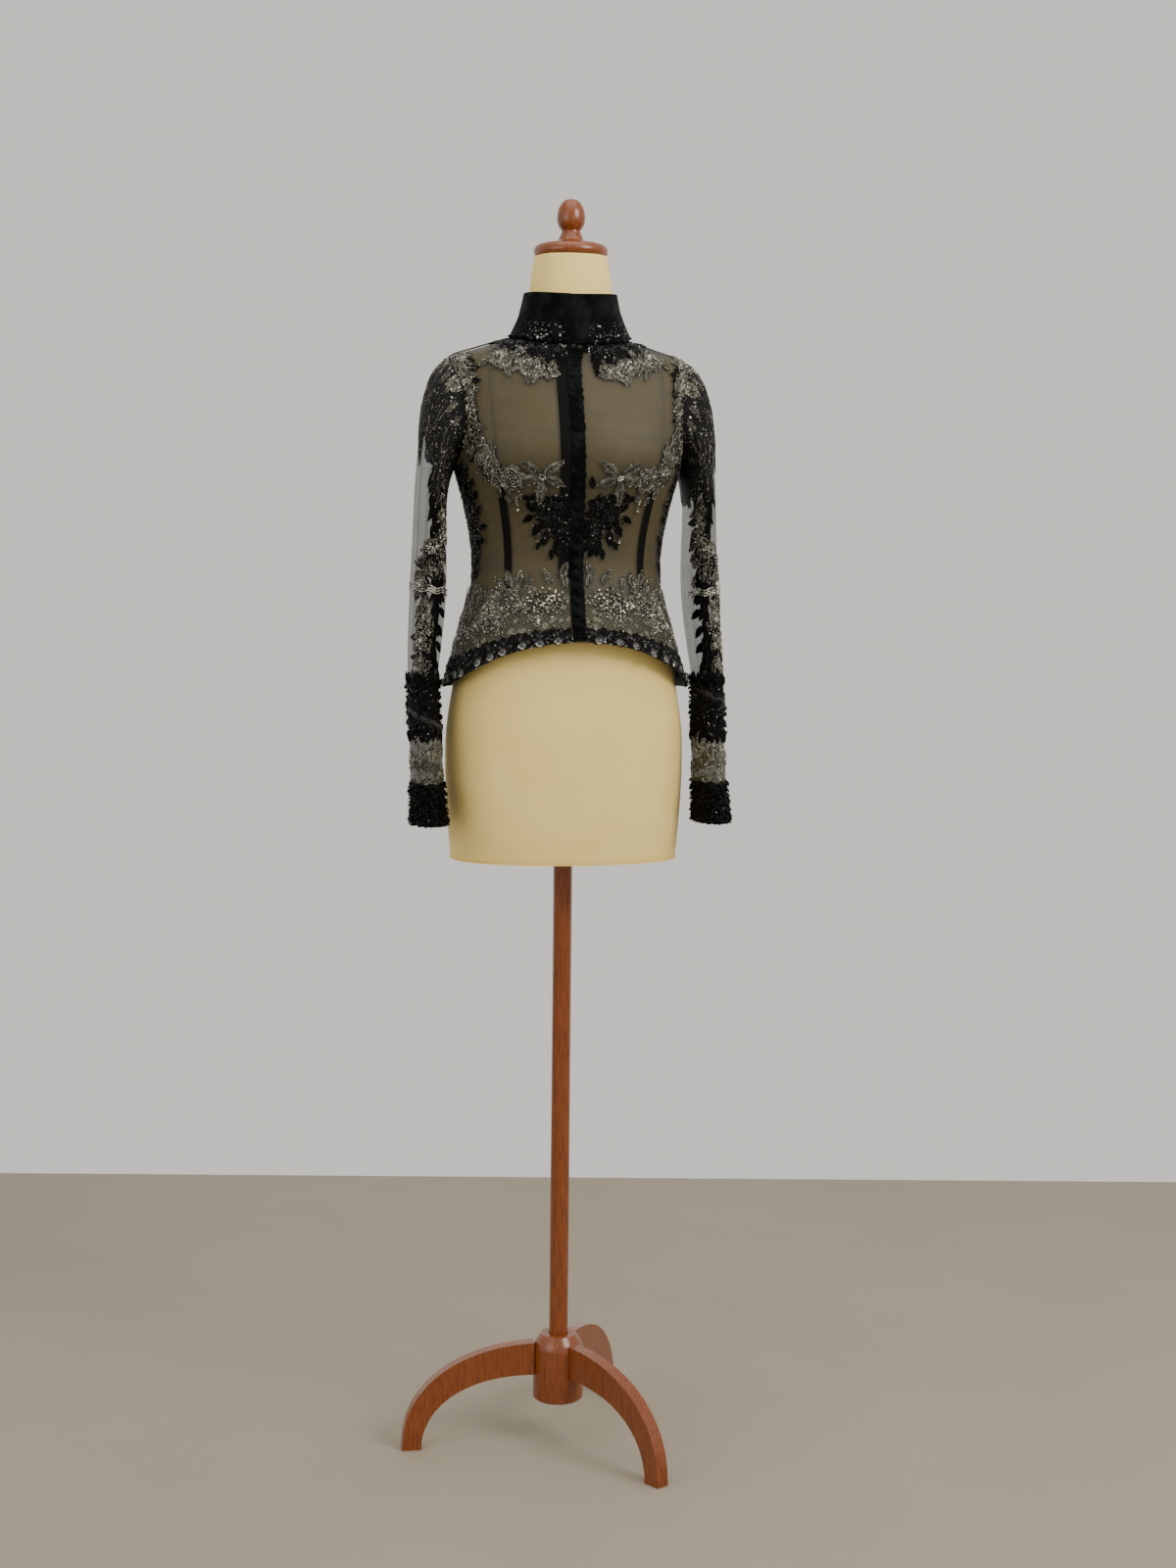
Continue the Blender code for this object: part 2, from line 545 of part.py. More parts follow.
def make_lower_laces(group, looks):
    """The net lace band round the hips, and the black hem lace with its row of crystals."""
    past_strip = VELVET_WIDTH / 2 + RUFFLE_DEPTH + 2 * SEAM_GAP
    sections = (
        ("left", closing(VELVET_OFFSET + past_strip), lambda level: SIDE_ANGLE - SIDE_GAP),
        ("right", lambda level: SIDE_GAP - SIDE_ANGLE, closing(VELVET_OFFSET - past_strip)),
        ("back", lambda level: SIDE_ANGLE + SIDE_GAP, lambda level: 3 * SIDE_ANGLE - SIDE_GAP),
    )
    for word, first, last in sections:
        columns, crystals = LACE_COUNTS[word]
        make_hip_lace(word, first, last, columns, group, looks["silver"])
        make_hem_lace(word, first, last, crystals, group, looks["lace"])


def make_hip_lace(word, first, last, columns, group, look):
    """Net lace between two edges, with a wavy top edge and raised flowers."""
    cells = []
    for share in steps(0, 1, 4):
        row = []
        for step in range(columns):
            tip = HIP_LACE_TOP + HIP_LACE_WAVE * abs(math.sin(math.pi * step / 4))
            level = HIP_LACE_FOOT + (tip - HIP_LACE_FOOT) * share
            angle = steps(first(level), last(level), columns)[step]
            raised = HIP_LACE_LOW + HIP_LACE_HIGH * math.sin(math.pi * share) * (step % 2)
            row.append((angle, level, LACE_WALL + raised))
        cells.append(row)
    cloth_on(f"hip_lace_{word}", torso, cells, LIFT, group, look)


def make_hem_lace(word, first, last, crystals, group, look):
    """The hem lace of one section. Its raised rounds are the crystals that are sewn along it."""
    cells = []
    for level, share in HEM_LACE_ROWS:
        row = []
        for step, angle in enumerate(steps(first(level), last(level), 2 * crystals + 1)):
            at_crystal = step % 2
            low = level - CRYSTAL_DROP * at_crystal if level == HEM else level
            row.append((angle, low, LACE_WALL + HEM_LACE_LOW + CRYSTAL_HIGH * share * at_crystal))
        cells.append(row)
    cloth_on(f"hem_lace_{word}", torso, cells, LIFT, group, look)


def make_neckline_lace(group, look):
    """Black lace on the tulle round the foot of the collar, deeper at the front of the shoulders."""
    cells = []
    for share in steps(0, 1, 3):
        row = []
        angles = steps(NECKLINE_LACE_START, 360 - NECKLINE_LACE_START, NECKLINE_LACE_COLUMNS)
        for step, angle in enumerate(angles):
            front = max(0.0, math.cos(math.radians(angle)))
            wave = NECKLINE_LACE_WAVE * abs(math.sin(math.pi * step / 3))
            foot = NECKLINE_LACE_FOOT - NECKLINE_LACE_DROP * front - wave
            raised = NECKLINE_LACE_LOW + NECKLINE_LACE_HIGH * (step % 2) * math.sin(math.pi * share)
            row.append((angle, foot + (NECKLINE_LACE_TOP - foot) * share, LACE_WALL + raised))
        cells.append(row)
    cloth_on("neckline_lace", torso, cells, LIFT, group, look)


def path_points(path, count):
    """Evenly counted points on the smooth line through a path's own points."""
    return [spline(path, place) for place in steps(0, len(path) - 1, count)]


def make_garland(name, surface, garland, side, group, looks):
    """A band of leaves and flowers along a path: a lobed outline, and a raised middle for each motif."""
    path = [(side * angle, level) for angle, level in garland.path]
    rough = [surface(*place) for place in path_points(path, 8 * len(path))]
    length = sum((b - a).length for a, b in zip(rough, rough[1:]))
    count = round(length / MOTIF_PITCH) * garland.steps_per_motif + 1
    line = path_points(path, count)
    cells = []
    for step, (angle, level) in enumerate(line):
        along = surface(*line[min(step + 1, count - 1)]) - surface(*line[max(step - 1, 0)])
        across = along.cross(outward(surface, angle, level)).normalized()
        turn, rise = directions(surface, angle, level)
        beat = abs(math.sin(math.pi * (step + 0.5) / garland.steps_per_motif))
        taper = min(1.0, END_TAPER + min(step, count - 1 - step) / garland.steps_per_motif)
        row = []
        for share in steps(-1, 1, GARLAND_COLUMNS):
            lobe = 1 - LOBE_DEPTH * (1 - beat if share < 0 else beat)
            shift = across * share * garland.half_width * lobe * taper
            raised = garland.high * (1 - share * share) * (PETAL_LOW + (1 - PETAL_LOW) * beat)
            aside, above = shift.dot(turn) / turn.length_squared, shift.dot(rise) / rise.length_squared
            row.append((angle + aside, level + above, LACE_WALL + raised))
        cells.append(row)
    cloth_on(name, surface, cells, garland.lift, group, looks[garland.slot])


def make_applied_work(group, looks):
    """What is sewn on the body: garlands, seam tapes, and lace at the side seams and below the bust."""
    for word, side in (("left", 1), ("right", -1)):
        make_garland(f"garland_{word}", torso, ARMHOLE_GARLAND, side, group, looks)
        make_garland(f"neck_garland_{word}", torso, NECK_GARLAND, side, group, looks)
        make_strip(
            f"seam_tape_{word}", lambda level: side * SEAM_ANGLE, steps(*SEAM_TAPE_LEVELS),
            lambda step: SEAM_TAPE_WIDTH / 2, lambda step, share: LACE_WALL, group, looks["facing"],
        )
        make_strip(
            f"side_lace_{word}", lambda level: side * SIDE_LACE_ANGLE, steps(*SIDE_LACE_LEVELS),
            lambda step: (SIDE_LACE_WIDTH + SIDE_LACE_WAVE * abs(math.sin(step))) / 2,
            lambda step, share: LACE_WALL + LACE_RELIEF * (1 - abs(share)), group, looks["lace"],
        )
        swell = CENTRE_LACE_LEVELS[-1]
        make_strip(
            f"centre_lace_{word}", lambda level: side * CENTRE_LACE_ANGLE, steps(*CENTRE_LACE_LEVELS),
            lambda step: (CENTRE_LACE_WIDTH + CENTRE_LACE_SWELL * math.sin(math.pi * step / swell)) / 2,
            lambda step, share: LACE_WALL + LACE_RELIEF * (step % 2) * (1 - abs(share)), group, looks["lace"],
        )


def make_sleeve_lace(name, surface, lace, group, look):
    """Lace all round a sleeve between two levels, on the sleeve's own columns."""
    cells = []
    for row_number, level in enumerate(steps(lace.first, lace.last, lace.rows)):
        edge = {0: -lace.scallop, lace.rows - 1: lace.scallop}.get(row_number, 0)
        row = []
        for column, angle in enumerate(sleeve_angles()):
            raised = lace.high * ((row_number + column) % 2)
            row.append((angle, level + edge * (column % 2), LACE_WALL + raised))
        cells.append(row)
    cloth_on(name, surface, cells, LIFT, group, look, closed=True)


def make_sleeve_work(group, looks):
    """Leaves on the sleeve head, a vine down the front, and the laces and cuff above the wrist."""
    for word, side, surface in (("left", 1, sleeve), ("right", -1, mirrored(sleeve))):
        make_garland(f"sleeve_vine_{word}", surface, SLEEVE_VINE, side, group, looks)
        make_garland(f"sleeve_head_leaves_{word}", surface, SLEEVE_HEAD_LEAVES, side, group, looks)
        for lace in SLEEVE_LACES:
            make_sleeve_lace(f"{lace.name}_{word}", surface, lace, group, looks[lace.slot])


def make_form(group, look):
    """The padded torso and neck, smooth and whole, a little smaller than the blouse."""
    rows = []
    angles = [360 * k / FORM_COLUMNS for k in range(FORM_COLUMNS)]
    for ring in FORM_HIPS:
        rows.append([oval(ring, angle, 0) for angle in angles])
    for level in steps(FORM_FIRST_LEVEL, FORM_LAST_LEVEL, FORM_ROWS):
        rows.append([off(torso, angle, level, -TULLE_WALL - FORM_CLEAR) for angle in angles])
    for ring in FORM_NECK:
        rows.append([oval(ring, angle, NECK_AXIS_Y) for angle in angles])
    points = [p for row in rows for p in row]
    faces = grid_faces(len(rows), FORM_COLUMNS, closed=True)
    faces.append(tuple(reversed(range(FORM_COLUMNS))))
    faces.append(tuple(range(len(points) - FORM_COLUMNS, len(points))))
    add_mesh("dress_form", points, faces, group, look)


def oval(ring, angle, axis_y):
    """A point of the form's own rings below the blouse and at the neck."""
    across, ahead = section(angle)
    depth = ring.front if ahead > 0 else ring.back
    return Vector((ring.half_width * across, axis_y - depth * ahead, ring.z - ring.tilt * ahead))


def turned_piece(name, profile, foot_z, centre_y, segments, group, look):
    """A profile of radius and height turned about the upright axis."""
    points = [Vector((radius, 0, height)) for radius, height in reversed(profile)]
    mesh = bpy.data.meshes.new(name)
    mesh.from_pydata([tuple(p) for p in points], [(k, k + 1) for k in range(len(points) - 1)], [])
    mesh.materials.append(look)
    made = bpy.data.objects.new(name, mesh)
    group.objects.link(made)
    made.location = (0, centre_y, foot_z)
    screw = made.modifiers.new("turn", "SCREW")
    screw.steps = screw.render_steps = segments
    screw.use_merge_vertices = True
    screw.merge_threshold = 0.00005
    return made


def make_stand(group, look):
    """A turned hub on curved legs, and the pole that carries the form."""
    pole = ((0, POLE_FOOT_Z), (POLE_RADIUS, POLE_FOOT_Z), (POLE_RADIUS, POLE_TOP_Z), (0, POLE_TOP_Z))
    turned_piece("pole", pole, 0, 0, POLE_SEGMENTS, group, look)
    bore = POLE_RADIUS + POLE_SOCKET_CLEAR
    socket_z = POLE_FOOT_Z - POLE_SOCKET_CLEAR
    hub = (
        (0, HUB_FOOT_Z), (HUB_RADIUS, HUB_FOOT_Z), (HUB_RADIUS, HUB_TOP_Z - HUB_SHOULDER_DROP),
        (HUB_RADIUS - HUB_SHOULDER_IN, HUB_TOP_Z), (bore, HUB_TOP_Z), (bore, socket_z), (0, socket_z),
    )
    turned_piece("stand_hub", hub, 0, 0, POLE_SEGMENTS, group, look)
    for count in range(LEG_COUNT):
        make_leg(f"stand_leg_{count + 1}", LEG_TURN + 360 * count / LEG_COUNT, group, look)


def make_leg(name, turn, group, look):
    """A flat-sided wooden leg that arches from the hub to a flat foot on the floor."""
    points = []
    for step in range(LEG_STEPS + 1):
        share = step / LEG_STEPS
        swing = math.radians(90 * share)
        reach = HUB_FLAT + (LEG_REACH - HUB_FLAT) * math.sin(swing) ** LEG_FULLNESS
        height = LEG_RISE * math.cos(swing) ** LEG_FULLNESS
        slope = LEG_FOOT_SLOPE * share**LEG_SLOPE_POWER
        high = LEG_HIGH_AT_HUB + (LEG_HIGH_AT_FOOT - LEG_HIGH_AT_HUB) * share
        normal = Vector((math.sin(slope), 0, math.cos(slope)))
        centre = Vector((reach, 0, height))
        upper, lower = centre + normal * high / 2, centre - normal * high / 2
        if step == 0:
            upper.x = lower.x = HUB_FLAT
        if step == LEG_STEPS:
            upper, lower = Vector((LEG_REACH + high / 2, 0, 0)), Vector((LEG_REACH - high / 2, 0, 0))
        upper.z, lower.z = max(upper.z, 0), max(lower.z, 0)
        for corner, across in ((lower, -1), (lower, 1), (upper, 1), (upper, -1)):
            points.append(Vector((corner.x, across * LEG_THICK / 2, corner.z)))
    faces = grid_faces(LEG_STEPS + 1, 4, closed=True)
    faces.append((3, 2, 1, 0))
    last = 4 * LEG_STEPS
    faces.append((last, last + 1, last + 2, last + 3))
    made = add_mesh(name, points, faces, group, look)
    made.rotation_euler.z = math.radians(turn - 90)


def main():
    clear_scene()
    blouse = collection_named("kebaya blouse")
    stand = collection_named("dress form")
    looks = {
        "tulle": material("black tulle", BLACK_TULLE, 0.7),
        "lace": material("black lace", BLACK_LACE, 0.5),
        "facing": material("black facing", BLACK_LACE, 0.8),
        "velvet": material("black velvet", BLACK_VELVET, 0.9),
        "silver": material("silver lace", SILVER_LACE, 0.4, 0.3),
    }
    cream = material("cream form", FORM_CREAM, 0.6)
    wood = material("varnished wood", STAND_WOOD, 0.25)
    make_panels(blouse, looks)
    make_sleeves(blouse, looks)
    make_collar(blouse, looks["velvet"])
    make_front_strips(blouse, looks)
    make_lower_laces(blouse, looks)
    make_neckline_lace(blouse, looks["lace"])
    make_applied_work(blouse, looks)
    make_sleeve_work(blouse, looks)
    make_form(stand, cream)
    turned_piece("neck_cap", CAP_PROFILE, CAP_FOOT_Z, NECK_AXIS_Y, CAP_SEGMENTS, stand, wood)
    make_stand(stand, wood)


main()
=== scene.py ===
# A black tulle kebaya blouse with silver beaded garlands, worn on a cream dress form without limbs
# that stands on varnished wood. Metres, +Z up, the front faces -Y. On the torso an angle is in
# degrees from the centre front, positive towards +X, and a level counts rings up from the hem.

import math
import random
from collections import namedtuple

import bpy
from mathutils import Matrix, Vector


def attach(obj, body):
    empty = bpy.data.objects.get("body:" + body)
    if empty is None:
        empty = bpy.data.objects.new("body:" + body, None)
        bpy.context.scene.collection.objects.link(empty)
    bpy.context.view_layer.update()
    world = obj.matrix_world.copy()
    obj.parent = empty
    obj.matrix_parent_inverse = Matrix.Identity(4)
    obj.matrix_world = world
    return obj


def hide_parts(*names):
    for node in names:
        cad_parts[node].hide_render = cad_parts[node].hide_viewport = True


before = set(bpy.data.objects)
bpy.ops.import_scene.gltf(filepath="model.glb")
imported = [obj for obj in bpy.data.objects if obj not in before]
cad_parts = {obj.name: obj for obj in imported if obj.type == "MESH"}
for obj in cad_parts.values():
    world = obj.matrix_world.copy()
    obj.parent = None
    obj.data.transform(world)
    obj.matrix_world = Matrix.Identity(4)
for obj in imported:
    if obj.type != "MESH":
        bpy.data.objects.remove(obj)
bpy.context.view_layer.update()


# Turned hub, pole, curved legs and the capped knob on the neck: beech, stained orange-brown and
# varnished. The hub and knob are turned on a lathe. The legs are sawn from flat board and screwed
# to the hub, so that their sides are flat and their edges a little rounded.

class Wire:
    """A number, colour or vector in a material. Sums on numbers add the nodes that work them out."""

    def __init__(self, look, socket):
        self.look, self.socket = look, socket

    def sum(self, operation, first, second=0.0):
        return self.look.node("ShaderNodeMath", {"operation": operation}, {0: first, 1: second})

    def __add__(self, other):
        return self.sum("ADD", self, other)

    def __sub__(self, other):
        return self.sum("SUBTRACT", self, other)

    def __rsub__(self, other):
        return self.sum("SUBTRACT", other, self)

    def __mul__(self, other):
        return self.sum("MULTIPLY", self, other)

    def __pow__(self, other):
        return self.sum("POWER", self, other)

    __radd__, __rmul__ = __add__, __mul__

    def wave(self):
        return self.sum("SINE", self)

    def size(self):
        return self.sum("ABSOLUTE", self)

    def between(self, low, high):
        """0 up to low and 1 from high, smooth in between."""
        settings = {"interpolation_type": "SMOOTHSTEP"}
        sockets = {"Value": self, "From Min": low, "From Max": high}
        return self.look.node("ShaderNodeMapRange", settings, sockets)


class Look:
    """A material with one shader, whose sockets take numbers, colours and wires."""

    def __init__(self, name):
        self.material = bpy.data.materials.new(name)
        self.material.use_nodes = True
        self.nodes, self.links = self.material.node_tree.nodes, self.material.node_tree.links
        self.shader = self.nodes["Principled BSDF"]
        self.place = self.node("ShaderNodeTexCoord", {}, {}, "Object")
        self.flat = self.node("ShaderNodeUVMap", {"uv_map": "flat"}, {})

    def node(self, kind, settings, sockets, output=0):
        """Adds a node: its settings are set first, then the values or wires of its sockets."""
        made = self.nodes.new(kind)
        for name, value in settings.items():
            if name == "stops":
                ramp = made.color_ramp.elements
                while len(ramp) < len(value):
                    ramp.new(1.0)
                for stop, (position, colour) in zip(ramp, value):
                    stop.position, stop.color = position, (*colour, 1.0)
            else:
                setattr(made, name, value)
        for socket, value in sockets.items():
            self.give(made.inputs[socket], value)
        return Wire(self, made.outputs[output])

    def give(self, socket, value):
        if isinstance(value, Wire):
            self.links.new(value.socket, socket)
        elif hasattr(value, "__len__") and len(value) == 3 and len(socket.default_value) == 4:
            socket.default_value = (*value, 1.0)
        else:
            socket.default_value = value

    def noise(self, scale, detail, stretch=(1, 1, 1)):
        settings = {"vector_type": "POINT"}
        spread = self.node("ShaderNodeMapping", settings, {"Vector": self.place, "Scale": stretch})
        return self.node("ShaderNodeTexNoise", {}, {"Vector": spread, "Scale": scale, "Detail": detail})

    def cells(self, scale, feature="F1", output="Distance", where=None):
        sockets = {"Vector": where or self.place, "Scale": scale}
        return self.node("ShaderNodeTexVoronoi", {"feature": feature}, sockets, output)

    def ramp(self, value, *stops):
        return self.node("ShaderNodeValToRGB", {"stops": stops}, {"Fac": value}, "Color")

    def mix(self, share, first, second):
        return self.node("ShaderNodeMix", {"data_type": "RGBA"}, {0: share, 6: first, 7: second}, 2)

    def across(self, axis, where=None):
        """One number of the flat or the real coordinates: X, Y or Z."""
        return self.node("ShaderNodeSeparateXYZ", {}, {0: where or self.flat}, axis)

    def bumps(self, height, depth, strength):
        return self.node("ShaderNodeBump", {}, {"Height": height, "Distance": depth, "Strength": strength})

    def finish(self, **sockets):
        """Sets the shader's own sockets. A double underscore stands for a space in a socket's name."""
        for name, value in sockets.items():
            self.give(self.shader.inputs[name.replace("__", " ")], value)
        return self.material


def varnished_wood():
    look = Look("varnished wood")
    grain = look.noise(55, 5, (6, 6, 0.7))
    pores = look.noise(700, 2, (3, 3, 0.12))
    stain = look.ramp(
        grain + 0.25 * pores, (0.30, (0.10, 0.021, 0.003)), (0.62, (0.20, 0.045, 0.006)),
        (0.95, (0.27, 0.072, 0.012)),
    )
    return look.finish(
        Base__Color=stain, Roughness=0.22 + 0.12 * grain, Normal=look.bumps(pores, 0.0002, 0.35),
        Coat__Weight=0.25, Coat__Roughness=0.12,
    )


MM = 0.001
NECK_AXIS_Y = -0.016
CAP_FOOT_Z = 1.5813
CAP_PROFILE = (  # radius and height
    (0, 0), (0.0440, 0), (0.0468, 0.0008), (0.0478, 0.0030), (0.0481, 0.0055), (0.0477, 0.0085),
    (0.0455, 0.0120), (0.0410, 0.0145), (0.0360, 0.0158), (0.0260, 0.0170), (0.0190, 0.0180),
    (0.0165, 0.0205), (0.0150, 0.0240), (0.0131, 0.0280), (0.0122, 0.0305), (0.0120, 0.0322),
    (0.0138, 0.0345), (0.0160, 0.0375), (0.0176, 0.0415), (0.0182, 0.0460), (0.0181, 0.0510),
    (0.0175, 0.0560), (0.0161, 0.0608), (0.0140, 0.0650), (0.0112, 0.0686), (0.0080, 0.0710),
    (0.0042, 0.0721), (0, 0.0725),
)
POLE_PROFILE = ((0, 0.1203), (0.0125, 0.1203), (0.0125, 0.7997), (0, 0.7997))
HUB_PROFILE = (
    (0, 0.060), (0.031, 0.060), (0.034, 0.063), (0.034, 0.130), (0.0334, 0.134), (0.030, 0.141),
    (0.0255, 0.1475), (0.024, 0.150), (0.0135, 0.150), (0.0128, 0.149), (0.0128, 0.120), (0, 0.120),
)
LATHE_TURNS = 72
WOOD = varnished_wood()


def placed(name, data):
    """A new object in the scene."""
    made = bpy.data.objects.new(name, data)
    bpy.context.scene.collection.objects.link(made)
    return made


def dress(made, slot, *nodes):
    """The piece rides on the form and stands for these nodes, which are hidden. The slot is not used."""
    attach(made, "root")
    if nodes:
        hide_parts(*nodes)
    return made


def ring_faces(rows, count):
    """The faces of a round wall whose points lie in rows of the same count."""
    return [
        (i * count + k, i * count + (k + 1) % count, (i + 1) * count + (k + 1) % count, (i + 1) * count + k)
        for i in range(rows - 1) for k in range(count)
    ]


def turned(name, profile, foot_z, centre_y, node):
    """A profile turned about an upright axis, as on a lathe."""
    turns = [math.tau * k / LATHE_TURNS for k in range(LATHE_TURNS)]
    points = [
        (radius * math.cos(turn), centre_y + radius * math.sin(turn), foot_z + height)
        for radius, height in profile for turn in turns
    ]
    mesh = bpy.data.meshes.new(name)
    mesh.from_pydata(points, [], ring_faces(len(profile), LATHE_TURNS))
    mesh.validate()
    mesh.materials.append(WOOD)
    mesh.shade_smooth()
    mesh.set_sharp_from_angle(angle=math.radians(42))
    dress(placed(name, mesh), "wood", node)


turned("turned_cap", CAP_PROFILE, CAP_FOOT_Z, NECK_AXIS_Y, "neck_cap")
turned("upright_pole", POLE_PROFILE, 0, 0, "pole")
turned("turned_hub", HUB_PROFILE, 0, 0, "stand_hub")
for number in (1, 2, 3):
    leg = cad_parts[f"stand_leg_{number}"]
    leg.data.materials.clear()
    leg.data.materials.append(WOOD)
    rounding = leg.modifiers.new("rounded edges", "BEVEL")
    rounding.width, rounding.segments = 2.0 * MM, 3
    rounding.limit_method, rounding.angle_limit = "ANGLE", math.radians(50)


# The form: a padded torso and neck without arms, covered tightly in cream cotton jersey. It follows
# the blouse's own body closely, so both are lofted through the same rings, the form a little inside.

Ring = namedtuple("Ring", "side_z front_z back_z half_width front back")
TORSO = (
    Ring(1.026, 1.088, 1.018, 0.1600, 0.121, 0.117),
    Ring(1.060, 1.103, 1.054, 0.1520, 0.113, 0.111),
    Ring(1.098, 1.121, 1.094, 0.1415, 0.104, 0.102),
    Ring(1.135, 1.143, 1.133, 0.1310, 0.094, 0.091),
    Ring(1.178, 1.178, 1.178, 0.1240, 0.085, 0.081),
    Ring(1.218, 1.216, 1.220, 0.1262, 0.088, 0.086),
    Ring(1.262, 1.258, 1.265, 0.1350, 0.097, 0.094),
    Ring(1.306, 1.300, 1.311, 0.1465, 0.108, 0.101),
    Ring(1.342, 1.337, 1.350, 0.1530, 0.111, 0.105),
    Ring(1.388, 1.378, 1.396, 0.1590, 0.104, 0.106),
    Ring(1.428, 1.413, 1.436, 0.1610, 0.092, 0.098),
    Ring(1.450, 1.438, 1.460, 0.1540, 0.083, 0.082),
    Ring(1.464, 1.453, 1.476, 0.1150, 0.0800, 0.062),
    Ring(1.476, 1.464, 1.488, 0.0760, 0.0775, 0.045),
)
ARMPIT, SHOULDER, NECK = 7, 11, 13
SQUARENESS = 0.02
CUP_OUT, CUP_ASIDE = 11 * MM, 0.25
CUP_ANGLE, CUP_ANGLE_SPREAD, CUP_LEVEL, CUP_LEVEL_SPREAD = 34, 30, 7.6, 1.25
FormRing = namedtuple("FormRing", "z tilt half_width front back")
FORM_HIPS = (
    FormRing(0.800, 0, 0.0600, 0.040, 0.040),
    FormRing(0.800, 0, 0.1440, 0.099, 0.102),
    FormRing(0.8015, 0, 0.1475, 0.102, 0.105),
    FormRing(0.806, 0, 0.1500, 0.104, 0.107),
    FormRing(0.850, 0, 0.1540, 0.107, 0.113),
    FormRing(0.910, 0, 0.1570, 0.108, 0.117),
    FormRing(0.970, 0, 0.1560, 0.106, 0.115),
    FormRing(1.030, 0, 0.1470, 0.101, 0.106),
    FormRing(1.085, 0, 0.1360, 0.094, 0.095),
    FormRing(1.130, 0, 0.1255, 0.086, 0.084),
)
FORM_NECK = (
    FormRing(1.4790, 0.009, 0.0630, 0.0535, 0.0530),
    FormRing(1.4920, 0.007, 0.0590, 0.0530, 0.0500),
    FormRing(1.5080, 0.004, 0.0560, 0.0525, 0.0480),
    FormRing(1.5300, 0, 0.0540, 0.0520, 0.0465),
    FormRing(1.5600, 0, 0.0500, 0.0495, 0.0445),
    FormRing(1.5770, 0, 0.0475, 0.0475, 0.0430),
    FormRing(1.5805, 0, 0.0450, 0.0450, 0.0405),
    FormRing(1.5810, 0, 0.0300, 0.0300, 0.0280),
)
FORM_INSIDE = 3.6 * MM  # from the blouse's outer face to the form


def steps(first, last, count):
    return [first + (last - first) * k / (count - 1) for k in range(count)]


def spline(table, place):
    """A row of the table at a fractional place, smooth through all rows."""
    last = len(table) - 1
    first = min(max(int(place), 0), last - 1)
    t = place - first
    rows = [table[min(max(k, 0), last)] for k in range(first - 1, first + 3)]
    return [
        0.5 * (
            2 * b + (c - a) * t + (2 * a - 5 * b + 4 * c - d) * t * t + (3 * b - a - 3 * c + d) * t * t * t
        )
        for a, b, c, d in zip(*rows)
    ]


def section(angle):
    """How far across and how far ahead a section's point lies, each from -1 to 1."""
    turn = math.radians(angle)
    across = (math.sin(turn) + SQUARENESS * math.sin(3 * turn)) / (1 - SQUARENESS)
    ahead = (math.cos(turn) - SQUARENESS * math.cos(3 * turn)) / (1 - SQUARENESS)
    return across, ahead


def torso(angle, level):
    """A point on the outer face of the blouse's body."""
    side_z, front_z, back_z, half_width, front, back = spline(TORSO, level)
    across, ahead = section(angle)
    depth, middle_z = (front, front_z) if ahead > 0 else (back, back_z)
    from_front = abs((angle + 180) % 360 - 180)
    aside = (from_front - CUP_ANGLE) / CUP_ANGLE_SPREAD
    above = (level - CUP_LEVEL) / CUP_LEVEL_SPREAD
    cup = CUP_OUT * math.exp(-aside * aside - above * above)
    height = side_z + (middle_z - side_z) * ahead * ahead
    return Vector((half_width * across + CUP_ASIDE * across * cup, -depth * ahead - cup, height))


def directions(surface, angle, level):
    """How a surface's point moves for one degree and for one level."""
    here = surface(angle, level)
    return (surface(angle + 0.5, level) - here) / 0.5, (surface(angle, level + 0.02) - here) / 0.02


def off(surface, angle, level, distance):
    """A point at a distance out from a surface."""
    turn, rise = directions(surface, angle, level)
    return surface(angle, level) + distance * turn.cross(rise).normalized()


class Heap:
    """The points and faces of one piece, with flat coordinates on it in metres."""

    def __init__(self):
        self.points, self.faces, self.flat, self.dense = [], [], [], []

    def add(self, points, faces, flat=None, dense=None):
        first = len(self.points)
        self.points += points
        self.faces += [tuple(first + n for n in face) for face in faces]
        self.flat += flat or [(0.0, 0.0)] * len(points)
        self.dense += dense or [0.0] * len(points)

    def grid(self, rows, dense=None):
        """A cloth through rows of points. Its flat coordinates are its own lengths."""
        wide, flat = len(rows[0]), []
        for i, row in enumerate(rows):
            along = 0.0
            line = [0.0]
            for a, b in zip(row, row[1:]):
                along += (b - a).length
                line.append(along)
            for j, value in enumerate(line):
                up = flat[(i - 1) * wide + j][1] + (row[j] - rows[i - 1][j]).length if i else 0.0
                flat.append((value - along / 2, up))
        faces = [
            (i * wide + j, i * wide + j + 1, (i + 1) * wide + j + 1, (i + 1) * wide + j)
            for i in range(len(rows) - 1) for j in range(wide - 1)
        ]
        self.add([p for row in rows for p in row], faces, flat, dense)

    def sew(self, name, look, slot, *nodes):
        """Makes the piece. The dense value says where the cloth gathers into more than one layer."""
        mesh = bpy.data.meshes.new(name)
        mesh.from_pydata([tuple(p) for p in self.points], [], self.faces)
        flat = mesh.uv_layers.new(name="flat")
        corners = [0] * len(mesh.loops)
        mesh.loops.foreach_get("vertex_index", corners)
        flat.data.foreach_set("uv", [value for n in corners for value in self.flat[n]])
        gathered = mesh.attributes.new("dense", "FLOAT", "POINT")
        gathered.data.foreach_set("value", self.dense)
        mesh.materials.append(look)
        mesh.shade_smooth()
        return dress(placed(name, mesh), slot, *nodes)


def oval(ring, angle, axis_y):
    across, ahead = section(angle)
    depth = ring.front if ahead > 0 else ring.back
    return Vector((ring.half_width * across, axis_y - depth * ahead, ring.z - ring.tilt * ahead))


